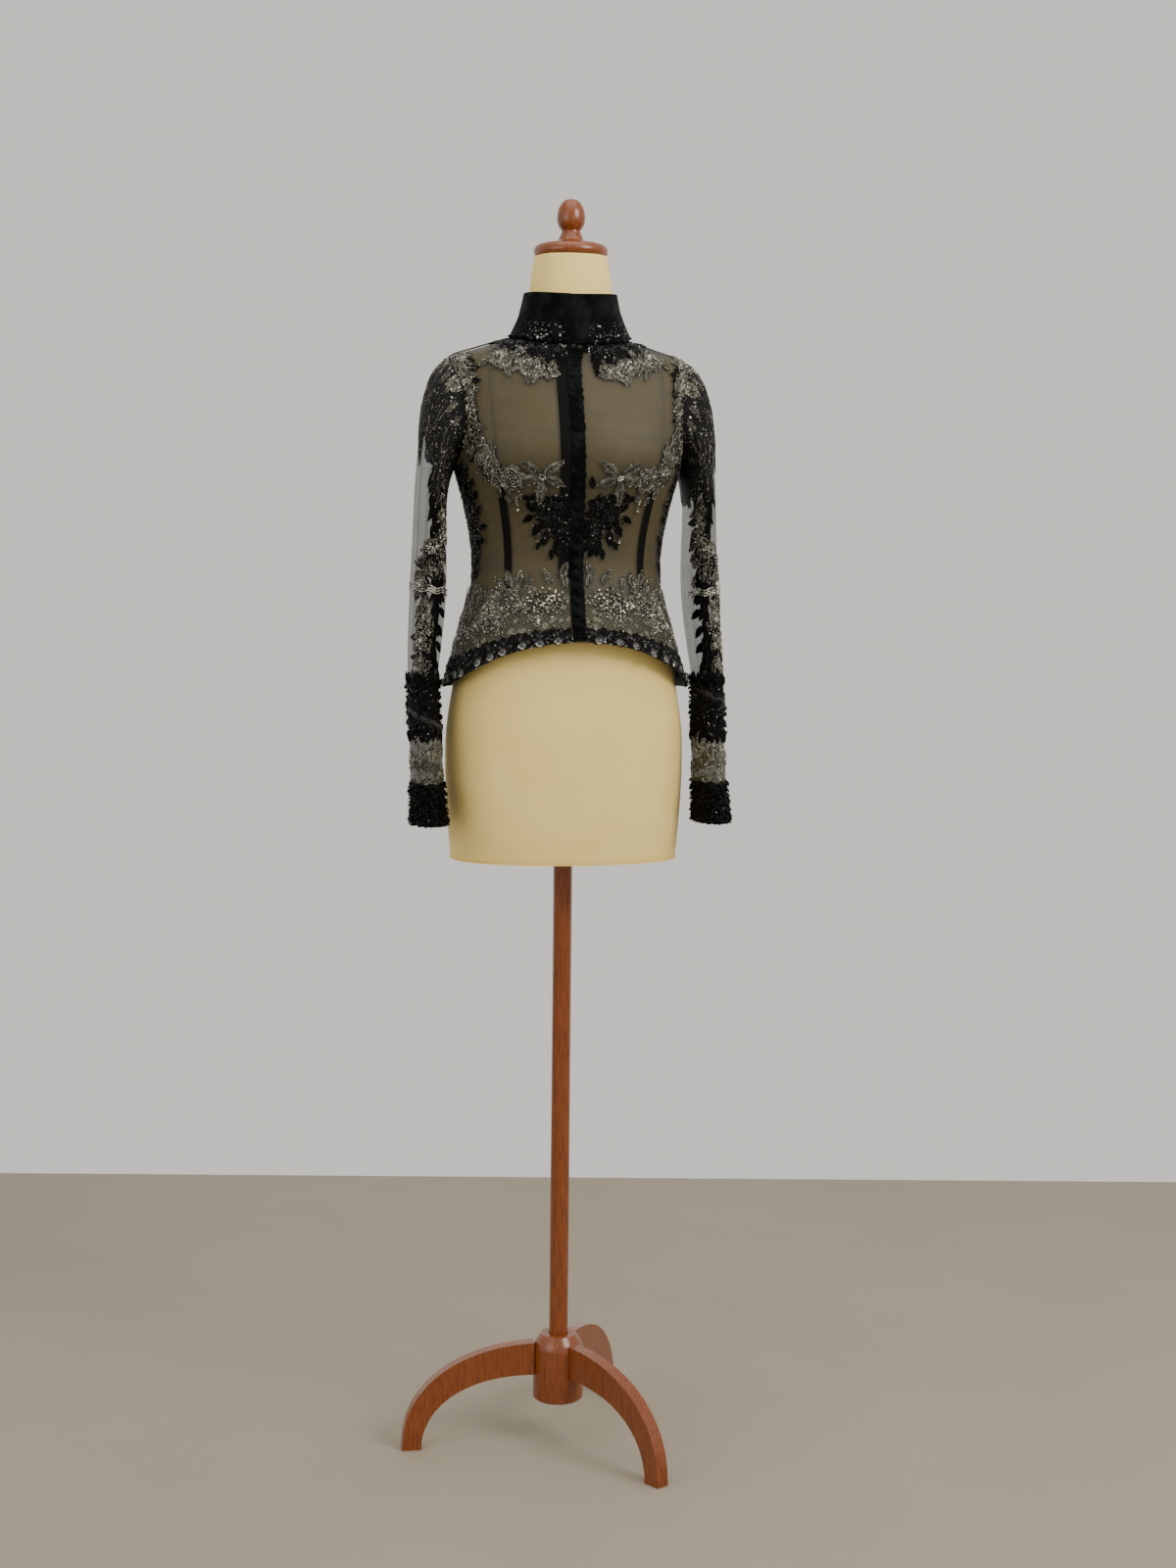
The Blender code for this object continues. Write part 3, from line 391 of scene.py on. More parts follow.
def jersey():
    look = Look("cream cotton jersey")
    knit = (look.across("X") * 3400).wave() * 0.5 + (look.across("Y") * 2600).wave() * 0.5
    tone = look.ramp(look.noise(9, 3), (0.3, (0.84, 0.63, 0.20)), (0.7, (0.92, 0.72, 0.26)))
    return look.finish(
        Base__Color=tone, Roughness=0.8, Sheen__Weight=0.08, Sheen__Roughness=0.5,
        Normal=look.bumps(knit + 2 * look.noise(400, 2), 0.00012, 0.45),
    )


form_angles = [k * 4 for k in range(91)]
form_rows = [
    [oval(FormRing(*spline(FORM_HIPS, place)), angle, 0) for angle in form_angles]
    for place in steps(0, len(FORM_HIPS) - 1, 34)
]
form_rows += [
    [off(torso, angle, level, -FORM_INSIDE) for angle in form_angles]
    for level in steps(4, 12.85, 56)
]
form_rows += [
    [oval(FormRing(*spline(FORM_NECK, place)), angle, NECK_AXIS_Y) for angle in form_angles]
    for place in steps(0, len(FORM_NECK) - 1, 24)
]
form = Heap()
form.grid(form_rows)
lowest = range(len(form_angles) - 1)
highest = range(len(form.points) - len(form_angles), len(form.points) - 1)
form.faces += [tuple(reversed(lowest)), tuple(highest)]
form.sew("dress_form_cover", jersey(), "form_cover", "dress_form")


# The body of the blouse: five panels of soft black tulle, two centre fronts, two side fronts and a
# back, joined at the princess, side and shoulder seams. It is one layer with nothing behind it, so
# that the cream form shows through the net.

SEAM_ANGLE, SIDE_ANGLE = 42, 90
ARMHOLE_REACH, ARMHOLE_POWER = 31, 0.75
CLOSE_TOP, CLOSE_BOTTOM = -5.0, -3.0
TULLE_DEPTH = -0.7 * MM  # the cloth's place below the outer face
TULLE_MESH = 1.3 * MM


def armhole_angle(level):
    """Where a front ends: at the side seam, or at the armhole above it."""
    if not ARMPIT < level < SHOULDER:
        return SIDE_ANGLE
    along = (level - ARMPIT) / (SHOULDER - ARMPIT)
    return SIDE_ANGLE - ARMHOLE_REACH * math.sin(math.pi * along) ** ARMHOLE_POWER


def close_angle(level):
    return CLOSE_BOTTOM + (CLOSE_TOP - CLOSE_BOTTOM) * level / NECK


def soft_wave(angle, level):
    """Shallow waves where the tulle isn't held flat."""
    drag = math.sin(0.30 * angle + 2.1 * level) + 0.6 * math.sin(0.55 * angle - 1.3 * level + 2)
    return 0.28 * MM * drag


def tulle_look(name, cover):
    """A net of fine black threads, with a hexagonal mesh of about 1.3 mm."""
    look = Look(name)
    u, v = look.across("X"), look.across("Y")
    turn = math.tau / TULLE_MESH
    left_leaning = (u * (-0.5 * turn) + v * (0.866 * turn)).wave()
    right_leaning = (u * (0.5 * turn) + v * (0.866 * turn)).wave()
    thread = (((u * turn).wave() + left_leaning + right_leaning) * (1 / 3)).between(-0.35, 0.75)
    dense = look.node("ShaderNodeAttribute", {"attribute_name": "dense"}, {}, "Fac")
    drag = look.noise(26, 4, (0.5, 1, 2.6)).between(0.42, 0.74)
    cover = cover + 0.34 * thread + 0.07 * drag + 0.40 * dense
    tone = look.mix(drag, (0.006, 0.007, 0.006), (0.019, 0.020, 0.015))
    return look.finish(
        Base__Color=tone, Roughness=0.62, Alpha=cover, Sheen__Weight=0.08, Sheen__Roughness=0.4,
        Normal=look.bumps(thread, 0.00008, 0.5),
    )


# The body's net gets more cover than the sleeves', though it is the same tulle. The extra cover is painted
# shade that darkens the form behind it.
TULLE = tulle_look("black tulle", 0.62)


def tulle_panel(name, first, last, columns, node):
    cells, dense = [], []
    for level in steps(0, NECK, 66):
        edges = sorted((first(level), last(level)))
        row = steps(*edges, columns)
        cells.append([off(torso, angle, level, TULLE_DEPTH + soft_wave(angle, level)) for angle in row])
        dense += [0.2 if j in (0, columns - 1) else 0.0 for j in range(columns)]
    panel = Heap()
    panel.grid(cells, dense)
    made = panel.sew(name, TULLE, "tulle", node)


for word, side in (("left", 1), ("right", -1)):
    tulle_panel(
        f"tulle_centre_front_{word}", close_angle,
        lambda level: side * SEAM_ANGLE, 17, f"centre_front_{word}",
    )
    tulle_panel(
        f"tulle_side_front_{word}", lambda level: side * SEAM_ANGLE,
        lambda level: side * armhole_angle(level), 15, f"side_front_{word}",
    )
tulle_panel(
    "tulle_back", lambda level: 2 * SIDE_ANGLE - armhole_angle(level),
    lambda level: 2 * SIDE_ANGLE + armhole_angle(level), 49, "back",
)


# The sleeves: each one long tube of the same tulle, slim, from the armhole to the wrist, hanging with
# long soft folds down its outside. The net looks darker along a fold, where two layers lie together.

Cuff = namedtuple("Cuff", "outer_x outer_z inner_x inner_z half_depth centre_y")
SLEEVE = (
    Cuff(0.1620, 1.4470, 0.1480, 1.3090, 0.0520, 0.000),
    Cuff(0.1755, 1.4330, 0.1520, 1.3020, 0.0570, 0.000),
    Cuff(0.1850, 1.4070, 0.1550, 1.2920, 0.0590, 0.001),
    Cuff(0.1910, 1.3700, 0.1575, 1.2780, 0.0590, 0.002),
    Cuff(0.1950, 1.3250, 0.1590, 1.2600, 0.0575, 0.003),
    Cuff(0.1985, 1.2750, 0.1590, 1.2350, 0.0560, 0.004),
    Cuff(0.2005, 1.2250, 0.1575, 1.2030, 0.0540, 0.004),
    Cuff(0.2030, 1.1780, 0.1570, 1.1660, 0.0520, 0.003),
    Cuff(0.2055, 1.1300, 0.1590, 1.1260, 0.0500, 0.000),
    Cuff(0.2075, 1.0850, 0.1640, 1.0840, 0.0485, -0.005),
    Cuff(0.2085, 1.0400, 0.1695, 1.0400, 0.0470, -0.012),
    Cuff(0.2080, 0.9950, 0.1695, 0.9950, 0.0460, -0.022),
    Cuff(0.2070, 0.9500, 0.1675, 0.9500, 0.0450, -0.033),
    Cuff(0.2070, 0.9050, 0.1665, 0.9050, 0.0440, -0.045),
    Cuff(0.2075, 0.8700, 0.1650, 0.8700, 0.0440, -0.056),
    Cuff(0.2085, 0.8520, 0.1640, 0.8520, 0.0450, -0.061),
)
WRIST = len(SLEEVE) - 1
SLEEVE_BLEND = 3


def sleeve(angle, level):
    """A point on the +X sleeve. Angle 0 is its outside, 90 its front and 180 the side by the body."""
    outer_x, outer_z, inner_x, inner_z, half_depth, centre_y = spline(SLEEVE, level)
    out, ahead = math.cos(math.radians(angle)), math.sin(math.radians(angle))
    fold = 1.8 * MM * min(max(level, 0) / 5, 1) * max(out, 0) ** 2 * math.cos(math.radians(4 * angle))
    top, foot = Vector((outer_x, 0, outer_z)), Vector((inner_x, 0, inner_z))
    point = (top + foot) / 2 + (top - foot) / 2 * out * (1 + fold / half_depth)
    point.y = centre_y - (half_depth + fold) * ahead
    if level < SLEEVE_BLEND:
        point = point.lerp(armhole_point(angle), (1 - max(level, 0) / SLEEVE_BLEND) ** 2)
    return point


def armhole_point(angle):
    up = (1 + math.cos(math.radians(angle))) / 2
    level = ARMPIT + 0.03 + (SHOULDER - ARMPIT - 0.06) * up
    edge = armhole_angle(level) + 0.6
    if math.sin(math.radians(angle)) < 0:
        edge = 2 * SIDE_ANGLE - edge
    return torso(edge, level) + Vector((0.9 * MM, 0, 0))


def mirrored(surface):
    def other(angle, level):
        point = surface(-angle, level)
        return Vector((-point.x, point.y, point.z))
    return other


FOLDS = (  # angle, width, strength and how it wanders
    (8, 6.5, 1.0, 0.10), (34, 5.5, 0.9, -0.45), (58, 5.0, 0.9, 0.30), (76, 5.0, 0.6, -0.2),
    (-24, 7, 0.9, 0.3), (-52, 6, 1.0, -0.3), (-84, 6, 0.8, 0.5), (-118, 7, 0.6, 0),
)


def sleeve_fold(angle, level):
    """How strongly the tulle gathers here, from 0 to 1."""
    gather = 0.0
    for middle, width, strength, wander in FOLDS:
        away = (angle - middle - 8 * wander * math.sin(0.55 * level + 3 * middle) + 180) % 360 - 180
        gather += strength * math.exp(-((away / width) ** 2))
    return gather * min(1.0, max(0.0, (level - 2.6) / 1.5)) * min(1.0, max(0.0, (10.4 - level) / 0.8))


SLEEVES = (("left", 1, sleeve), ("right", -1, mirrored(sleeve)))
# The same net with less cover than the body's. The body's extra cover is painted shade.
SLEEVE_TULLE = tulle_look("sleeve black tulle", 0.33)
for word, side, surface in SLEEVES:
    rows, dense = [], []
    for level in steps(0, WRIST, 96):
        row = []
        for angle in steps(-180, 180, 121):
            gather = sleeve_fold(angle + (0 if side > 0 else 37), level)
            row.append(off(surface, angle, level, TULLE_DEPTH + 0.9 * MM * (gather - 0.3)))
            dense.append(0.9 * max(0.0, gather - 0.25) ** 1.5)
        rows.append(row)
    tube = Heap()
    tube.grid(rows, dense)
    made = tube.sew(f"tulle_sleeve_{word}", SLEEVE_TULLE, "tulle", f"sleeve_{word}")


# The stand collar: one band of crushed black velvet with a little green in its depth, turned in at
# its edges. It closes at the front, where the wearer's right end lies on top with a rounded corner.

Band = namedtuple("Band", "half_width front back side_z front_z back_z")
COLLAR = (
    Band(0.0800, 0.0645, 0.0650, 1.4770, 1.4648, 1.4892),
    Band(0.0705, 0.0630, 0.0625, 1.4960, 1.4860, 1.5060),
    Band(0.0640, 0.0620, 0.0605, 1.5160, 1.5080, 1.5240),
    Band(0.0605, 0.0610, 0.0590, 1.5330, 1.5280, 1.5390),
)
COLLAR_UNDER_END, COLLAR_OVER_END = -24, 356
COLLAR_STEP = 2.6 * MM


def collar_point(angle, level):
    half_width, front, back, side_z, front_z, back_z = spline(COLLAR, level)
    side, ahead = math.sin(math.radians(angle)), math.cos(math.radians(angle))
    depth, middle_z = (front, front_z) if ahead > 0 else (back, back_z)
    height = side_z + (middle_z - side_z) * ahead * ahead
    return Vector((half_width * side, NECK_AXIS_Y - depth * ahead, height))


def velvet_look():
    look = Look("black velvet")
    crush = look.noise(60, 5, (1, 1, 0.7)).between(0.40, 0.68)
    nap = look.noise(2600, 2)
    tone = look.mix(crush, (0.0007, 0.0011, 0.0011), (0.0035, 0.0060, 0.0055))
    return look.finish(
        Base__Color=tone, Roughness=0.85 - 0.25 * crush, Specular__IOR__Level=0.08,
        Sheen__Weight=0.10, Sheen__Roughness=0.30, Sheen__Tint=(0.45, 0.60, 0.55),
        Normal=look.bumps(nap + 3 * crush, 0.0006, 0.5),
    )


VELVET = velvet_look()
rows = []
for level in steps(0, 3, 17):
    row = []
    for angle in steps(COLLAR_UNDER_END, COLLAR_OVER_END, 121):
        dip = min(1.0, max(0.0, (50 - (angle - COLLAR_UNDER_END)) / 31))
        round_off = max(0.0, 1 - (COLLAR_OVER_END - angle) / 8) ** 2 * max(0.0, level - 2) ** 2 * 0.30
        crease = 0.35 * MM * math.sin(0.23 * angle + 2 * math.sin(level * 2)) * math.sin(level)
        row.append(off(collar_point, angle, level - round_off, -COLLAR_STEP * dip + crease))
    rows.append(row)
collar = Heap()
collar.grid(rows)
made = collar.sew("velvet_collar", VELVET, "velvet", "collar")
thickness = made.modifiers.new("turned in", "SOLIDIFY")
thickness.thickness, thickness.offset = 2.0 * MM, -1
softness = made.modifiers.new("soft edge", "BEVEL")
softness.width, softness.segments, softness.angle_limit = 0.7 * MM, 2, math.radians(60)


# The front closing: a plain charcoal facing tape on one side, and beside it a strip of crushed velvet
# gathered so that its edge stands in small scallops, with a row of velvet-covered ball buttons.

LIFT = 0.3 * MM
FACING_OFFSET, FACING_WIDTH = -8.6 * MM, 14 * MM
VELVET_OFFSET, VELVET_WIDTH = 7.0 * MM, 17 * MM
BUTTON_RADIUS, BUTTON_HEIGHT, BUTTON_COUNT = 6.5 * MM, 5.0 * MM, 8
BUTTON_TOP_Z, BUTTON_FOOT_Z = 1.221, 1.106


def degrees_across(width, level):
    """A width at the middle of the front, as an angle."""
    return math.degrees(width / spline(TORSO, level)[3]) * (1 - SQUARENESS) / (1 + 3 * SQUARENESS)


def closing(offset):
    return lambda level: close_angle(level) + degrees_across(offset, level)


def strip(heap, centre, levels, shares, half_width, height, surface=torso):
    """A strip along a line on a surface. Its half width and height are functions of the step and share."""
    rows = []
    for step, level in enumerate(levels):
        one_degree = directions(surface, centre(level), level)[0].length
        row = []
        for share in shares:
            angle = centre(level) + half_width(step, share) / one_degree * share
            row.append(off(surface, angle, level, LIFT + height(step, share)))
        rows.append(row)
    heap.grid(rows)


def tape_look():
    look = Look("charcoal facing tape")
    u, v = look.across("X"), look.across("Y")
    twill = ((u + v) * (math.tau / 0.9e-3)).wave()
    tone = look.mix(look.noise(40, 3), (0.0010, 0.0011, 0.0011), (0.0045, 0.0048, 0.0048))
    return look.finish(
        Base__Color=tone, Roughness=0.8, Specular__IOR__Level=0.12, Normal=look.bumps(twill, 0.00012, 0.5),
    )


TAPE = tape_look()
facing = Heap()
strip(
    facing, closing(FACING_OFFSET), steps(3.75, 12.45, 60), steps(-1, 1, 7),
    lambda step, share: FACING_WIDTH / 2,
    lambda step, share: 0.5 * MM * (1 - share**4) + 0.25 * MM * math.sin(step * 0.7 + 2 * share),
)
made = facing.sew("facing_tape", TAPE, "tape", "facing_strip")

random.seed(5)
ruffle = Heap()
scallop = [random.uniform(0.55, 1.30) for k in range(80)]


def puff(step):
    """The small puffs of velvet between the gathers, about 10 mm apart and none alike."""
    return abs(math.sin(math.pi * (step + 2) / 8)) ** 0.7 * scallop[int(step + 2) // 8]


strip(
    ruffle, closing(VELVET_OFFSET), steps(0.06, 12.45, 320), steps(-1, 1, 13),
    lambda step, share: VELVET_WIDTH / 2 + 1.6 * MM * puff(step) * max(0.0, share),
    lambda step, share: 0.6 * MM + (0.5 + 1.7 * puff(step + 1.5 * share)) * MM * (1 - 0.6 * share**4)
    + 0.35 * MM * math.sin(step * 0.93 + 5 * share + 4 * scallop[step // 16]),
)
made = ruffle.sew("velvet_ruffle", VELVET, "velvet", "velvet_strip")


def level_at(line, height):
    """The level at which a line on the torso reaches a height."""
    low, high = 0.0, float(NECK)
    while high - low > 1e-5:
        middle = (low + high) / 2
        low, high = (middle, high) if torso(line(middle), middle).z < height else (low, middle)
    return low


def ball_button(heap, centre, out):
    """A flattened ball covered in velvet, with the small gathers of its cover round its foot."""
    side = out.orthogonal().normalized()
    up, ring, rows = out.cross(side), 20, 9
    points = []
    for i in range(rows):
        tilt = math.pi / 2 * i / (rows - 1)
        for k in range(ring):
            turn = math.tau * k / ring
            gather = 1 - 0.05 * (k % 2) * math.cos(tilt) ** 2
            reach = BUTTON_RADIUS * gather * (math.cos(tilt) if i else 0.86)
            level_part = reach * (side * math.cos(turn) + up * math.sin(turn))
            points.append(centre + level_part + out * BUTTON_HEIGHT * math.sin(tilt))
    heap.add(points, ring_faces(rows, ring))


for number, height in enumerate(steps(BUTTON_TOP_Z, BUTTON_FOOT_Z, BUTTON_COUNT)):
    line = closing(VELVET_OFFSET)
    level = level_at(line, height)
    turn, rise = directions(torso, line(level), level)
    button = Heap()
    ball_button(button, off(torso, line(level), level, 3.2 * MM), turn.cross(rise).normalized())
    button.sew(f"ball_button_{number + 1}", VELVET, "velvet", f"button_{number + 1}")


# The silver garlands: flowers, roses and leaves in silver-grey thread, edged with small glass beads and
# sewn on the tulle. One runs from each shoulder down the armhole, over black leaves, and under the bust
# to a star of five leaves. The black leaves are partly its black backing net and partly painted shade in
# the gaps between its leaves. A shorter one lies below each side of the collar.

Bloom = namedtuple("Bloom", "kind angle level turn size")  # the size in millimetres
ARMHOLE_TRAIL = (  # angle, level and leaf length
    (76, 11.35, 19), (72, 11.05, 21), (66, 10.6, 24), (61, 10.0, 23), (59, 9.4, 22), (59, 8.9, 22),
    (58, 8.4, 24), (57, 7.9, 25), (53, 7.4, 24), (47, 7.05, 20), (41, 6.85, 17),
)
ARMHOLE_BLOOMS = (
    Bloom("rose", 67, 10.65, 20, 16), Bloom("flower", 72, 11.15, 0, 13), Bloom("leaf", 60, 10.80, 12, 19),
    Bloom("leaf", 56, 10.45, 330, 18), Bloom("flower", 59, 9.75, 30, 14), Bloom("leaf", 52, 9.95, 20, 17),
    Bloom("leaf", 51, 9.05, 350, 15), Bloom("leaf", 52, 9.30, 40, 18), Bloom("flower", 58, 8.95, 10, 14),
    Bloom("leaf", 47, 7.15, 62, 34), Bloom("leaf", 48, 7.15, 84, 38), Bloom("leaf", 49, 7.15, 106, 37),
    Bloom("leaf", 51, 7.20, 130, 32), Bloom("leaf", 50, 7.05, 158, 27), Bloom("berries", 48, 7.05, 0, 7),
    Bloom("leaf", 42, 7.30, 48, 19), Bloom("leaf", 49, 6.75, 220, 20), Bloom("leaf", 44, 6.55, 262, 17),
    Bloom("rose", 35, 6.80, 0, 20), Bloom("leaf", 40, 6.30, 235, 15), Bloom("leaf", 29, 6.35, 320, 15),
    Bloom("drop", 33, 6.25, 268, 17), Bloom("star", 18.5, 6.88, 12, 35),
)
COLLAR_BLOOMS = (
    Bloom("rose", 41, 11.20, 10, 16), Bloom("flower", 43, 11.45, 30, 12), Bloom("leaf", 45, 10.95, 300, 15),
    Bloom("leaf", 33, 11.50, 75, 20), Bloom("flower", 30, 11.00, 0, 14), Bloom("leaf", 34, 10.75, 240, 17),
    Bloom("leaf", 29, 11.35, 40, 19), Bloom("rose", 21, 10.75, 40, 17), Bloom("leaf", 26, 10.60, 200, 19),
    Bloom("flower", 24, 11.05, 0, 12), Bloom("leaf", 15, 10.95, 35, 20), Bloom("leaf", 14, 10.50, 350, 21),
    Bloom("leaf", 17, 10.40, 325, 20), Bloom("leaf", 23, 10.45, 262, 14), Bloom("leaf", 19, 10.40, 292, 15),
    Bloom("berries", 20, 10.75, 0, 9), Bloom("berries", 39, 11.30, 0, 8), Bloom("flower", 13, 10.60, 0, 13),
    Bloom("leaf", 9, 10.75, 30, 15), Bloom("leaf", 8, 10.45, 350, 15),
)


class Spot:
    """A place on a cloth with flat coordinates in metres: x along the motif's turn, y across it."""

    def __init__(self, surface, angle, level, turn=0.0):
        self.surface, self.angle, self.level = surface, angle, level
        self.by_angle, self.by_level = directions(surface, angle, level)
        self.out = self.by_angle.cross(self.by_level).normalized()
        up = self.by_level.normalized()
        side = up.cross(self.out)
        self.along = side * math.cos(math.radians(turn)) + up * math.sin(math.radians(turn))
        self.across = self.out.cross(self.along)
        a, b = self.by_angle.dot(self.by_angle), self.by_angle.dot(self.by_level)
        c = self.by_level.dot(self.by_level)
        self.share = (a, b, c, a * c - b * b)

    def at(self, x, y, height=0.0):
        shift = self.along * x + self.across * y
        a, b, c, whole = self.share
        on_angle, on_level = shift.dot(self.by_angle), shift.dot(self.by_level)
        angle = self.angle + (c * on_angle - b * on_level) / whole
        return off(self.surface, angle, self.level + (a * on_level - b * on_angle) / whole, height)


GOLDEN = (1 + math.sqrt(5)) / 2
BEAD_POINTS = [Vector(p).normalized() for p in (
    (-1, GOLDEN, 0), (1, GOLDEN, 0), (-1, -GOLDEN, 0), (1, -GOLDEN, 0), (0, -1, GOLDEN), (0, 1, GOLDEN),
    (0, -1, -GOLDEN), (0, 1, -GOLDEN), (GOLDEN, 0, -1), (GOLDEN, 0, 1), (-GOLDEN, 0, -1), (-GOLDEN, 0, 1),
)]
BEAD_FACES = (
    (0, 11, 5), (0, 5, 1), (0, 1, 7), (0, 7, 10), (0, 10, 11), (1, 5, 9), (5, 11, 4), (11, 10, 2), (10, 7, 6),
    (7, 1, 8), (3, 9, 4), (3, 4, 2), (3, 2, 6), (3, 6, 8), (3, 8, 9), (4, 9, 5), (2, 4, 11), (6, 2, 10),
    (8, 6, 7), (9, 8, 1),
)


def bead(heap, centre, radius):
    heap.add([centre + radius * p for p in BEAD_POINTS], BEAD_FACES)


LEAF_HALF = 4 * MM  # how far from its middle line a leaf's edge lies in its flat coordinates
LEAF_WIDTH, LEAF_RISE, LEAF_POINT = 0.46, 1.8 * MM, 0.85  # width as a share of the length
BUNCH_TURN = 2.39996  # from one bead of a bunch to the next, so that they spread evenly


def heading(turn):
    return math.cos(math.radians(turn)), math.sin(math.radians(turn))


def both_ways(side, turn):
    """A motif's turn as drawn, or mirrored on the other side of the body."""
    return turn if side > 0 else 180 - turn


class Work:
    """What one embroiderer's frame makes: the thread and the beads of one piece."""

    def __init__(self, spacing=2.6 * MM, size=0.80 * MM, kept=0.42):
        self.thread, self.beads = Heap(), Heap()
        self.spacing, self.size, self.kept = spacing, size, kept

    def petal(self, spot, x, y, turn, length, width, rise=1.6 * MM, point=1.0, beaded=True):
        """A petal or leaf from its foot at x, y. It is pointed where point is 1 and round where it is 0."""
        cos, sin = heading(turn)

        def half(t):
            return width / 2 * math.sin(math.pi * t ** (0.75 + 0.1 * point)) ** (0.55 + 0.45 * point)

        def local(t, s, height):
            along, aside = t * length, s * half(t)
            return spot.at(x + cos * along - sin * aside, y + sin * along + cos * aside, height)

        points, flat = [], []
        places, shares = steps(0.02, 0.985, 7), (-1, -0.55, 0, 0.55, 1)
        for t in places:
            for s in shares:
                swell = math.sin(math.pi * t) ** 0.5
                height = 0.1 * MM + rise * swell * (0.28 + 1.25 * abs(s) - 1.40 * s**4)
                points.append(local(t, s, height))
                flat.append((s * LEAF_HALF, t * length))
        faces = [(5 * i + j, 5 * i + j + 1, 5 * i + j + 6, 5 * i + j + 5) for i in range(6) for j in range(4)]
        self.thread.add(points, faces, flat)
        if beaded:
            count = max(3, round(length * 1.08 / self.spacing))
            edges = [((k + 0.5) / count, 0.97 * s) for k in range(count) for s in (-1, 1)]
            for t, s in edges + [(t, 0) for t in steps(0.2, 0.7, max(2, count // 2))]:
                if random.random() < self.kept:
                    place = local(t, s, 0.5 * MM + (0.3 if s else 0.6) * rise)
                    bead(self.beads, place, self.size * random.uniform(0.8, 1.2))

    def leaf(self, spot, turn, length, beaded=True):
        self.petal(spot, 0, 0, turn, length, LEAF_WIDTH * length, LEAF_RISE, LEAF_POINT, beaded)

    def berries(self, spot, radius, count, size):
        """A bunch of beads that lie close together, the middle ones higher."""
        for k in range(count):
            reach = radius * math.sqrt((k + 0.3) / count)
            turn = k * BUNCH_TURN
            height = size * (0.7 + 0.8 * (1 - reach / radius))
            bead(self.beads, spot.at(reach * math.cos(turn), reach * math.sin(turn), height), size)

    def flower(self, spot, radius, point=0.25):
        """Five petals round a bunch of beads."""
        for k in range(5):
            turn = 360 * k / 5 + 17
            cos, sin = heading(turn)
            x, y = 0.16 * radius * cos, 0.16 * radius * sin
            self.petal(spot, x, y, turn, 0.86 * radius, 0.82 * radius, 2 * MM, point)
        self.berries(spot, 0.32 * radius, 9, 1.35 * MM)

    def rose(self, spot, radius):
        """Round petals in two rings, the inner one higher and turned, with rings of beads between them."""
        for k in range(6):
            turn = 60 * k + 8
            cos, sin = heading(turn)
            x, y = 0.35 * radius * cos, 0.35 * radius * sin
            self.petal(spot, x, y, turn, 0.66 * radius, 0.80 * radius, 1.8 * MM, 0)
        for ring, height in ((0.62, 1.0), (0.40, 1.7), (0.20, 2.2)):
            count = max(5, round(math.tau * ring * radius / (2.2 * MM)))
            for k in range(count):
                turn = math.tau * k / count
                reach = ring * radius * (1 + 0.10 * math.sin(3 * math.tau * k / count))
                place = spot.at(reach * math.cos(turn), reach * math.sin(turn), height * MM)
                bead(self.beads, place, 0.95 * MM)
        for k in range(4):
            self.petal(spot, 0, 0, 90 * k + 30, 0.5 * radius, 0.5 * radius, 2.8 * MM, 0.2, beaded=False)
        bead(self.beads, spot.at(0, 0, 3.0 * MM), 1.8 * MM)

    def star(self, spot, reach, side):
        """Five pointed leaves, spread wide, from a beaded middle."""
        foot = 2.5 * MM
        for turn, share in ((128, 0.95), (30, 0.92), (-22, 0.96), (-92, 0.98), (192, 0.84)):
            cos, sin = heading(side * turn)
            x, y = foot * cos, foot * sin
            self.petal(spot, x, y, side * turn, share * reach, 0.41 * reach, 2.6 * MM, LEAF_POINT)
        self.berries(spot, 4.5 * MM, 10, 1.6 * MM)

    def curl(self, spot, radius):
        """A row of beads that winds into a curl."""
        for k in range(26):
            turn = 0.34 * k
            reach = radius * (1 - k / 34)
            place = spot.at(reach * math.cos(turn), reach * math.sin(turn), 1.0 * MM)
            bead(self.beads, place, (1.25 - 0.015 * k) * MM)

    def drop(self, spot, length):
        """Beads that hang in a line to a larger one."""
        for k in range(5):
            bead(self.beads, spot.at(length * k / 5, 0, 1.2 * MM), 1.2 * MM)
        bead(self.beads, spot.at(length, 0, 1.5 * MM), 2.3 * MM)

    def bloom(self, surface, side, bloom):
        """Works one motif of a table, mirrored on the side of -X."""
        spot = Spot(surface, side * bloom.angle, bloom.level, both_ways(side, bloom.turn))
        size = bloom.size * MM
        if bloom.kind == "leaf":
            self.leaf(spot, 0, size)
        elif bloom.kind == "flower":
            self.flower(spot, size)
        elif bloom.kind == "rose":
            self.rose(spot, size)
        elif bloom.kind == "star":
            self.star(spot, size, side)
        elif bloom.kind == "berries":
            self.berries(spot, size, 14, max(1.3 * MM, 0.15 * size))
        elif bloom.kind == "curl":
            self.curl(spot, size)
        elif bloom.kind == "drop":
            self.drop(spot, size)

    def trail(self, surface, side, path, count, beaded=True, spread=(28, 62)):
        """Leaves that lean to both sides of a path of angles, levels and leaf lengths."""
        for k in range(count):
            step = (len(path) - 1) * (k + 0.5) / count
            angle, level, length = spline(path, step)
            next_angle, next_level, _ = spline(path, step + 0.02)
            spot = Spot(surface, side * angle, level)
            way = surface(side * next_angle, next_level) - surface(side * angle, level)
            turn = math.degrees(math.atan2(way.dot(spot.across), way.dot(spot.along)))
            turn += random.uniform(*spread) * (1 if k % 2 else -1)
            length *= random.uniform(0.85, 1.15) * MM
            self.leaf(spot, turn, length, beaded)

    def ground(self, surface, side, angles, levels, count, length):
        """Plain leaves that lie all ways and close the net behind the others."""
        for k in range(count):
            angle, level = side * random.uniform(*angles), random.uniform(*levels)
            spot = Spot(surface, angle, level, random.uniform(0, 360))
            long = length * random.uniform(0.8, 1.2)
            self.petal(spot, -length / 2, 0, 0, long, 0.5 * length, 0.7 * MM, 0.7, beaded=False)

    def sew(self, name, thread, beads, slot, *nodes):
        self.thread.sew(name, thread, slot, *nodes)
        if self.beads.points:
            self.beads.sew(f"{name}_beads", beads, slot)


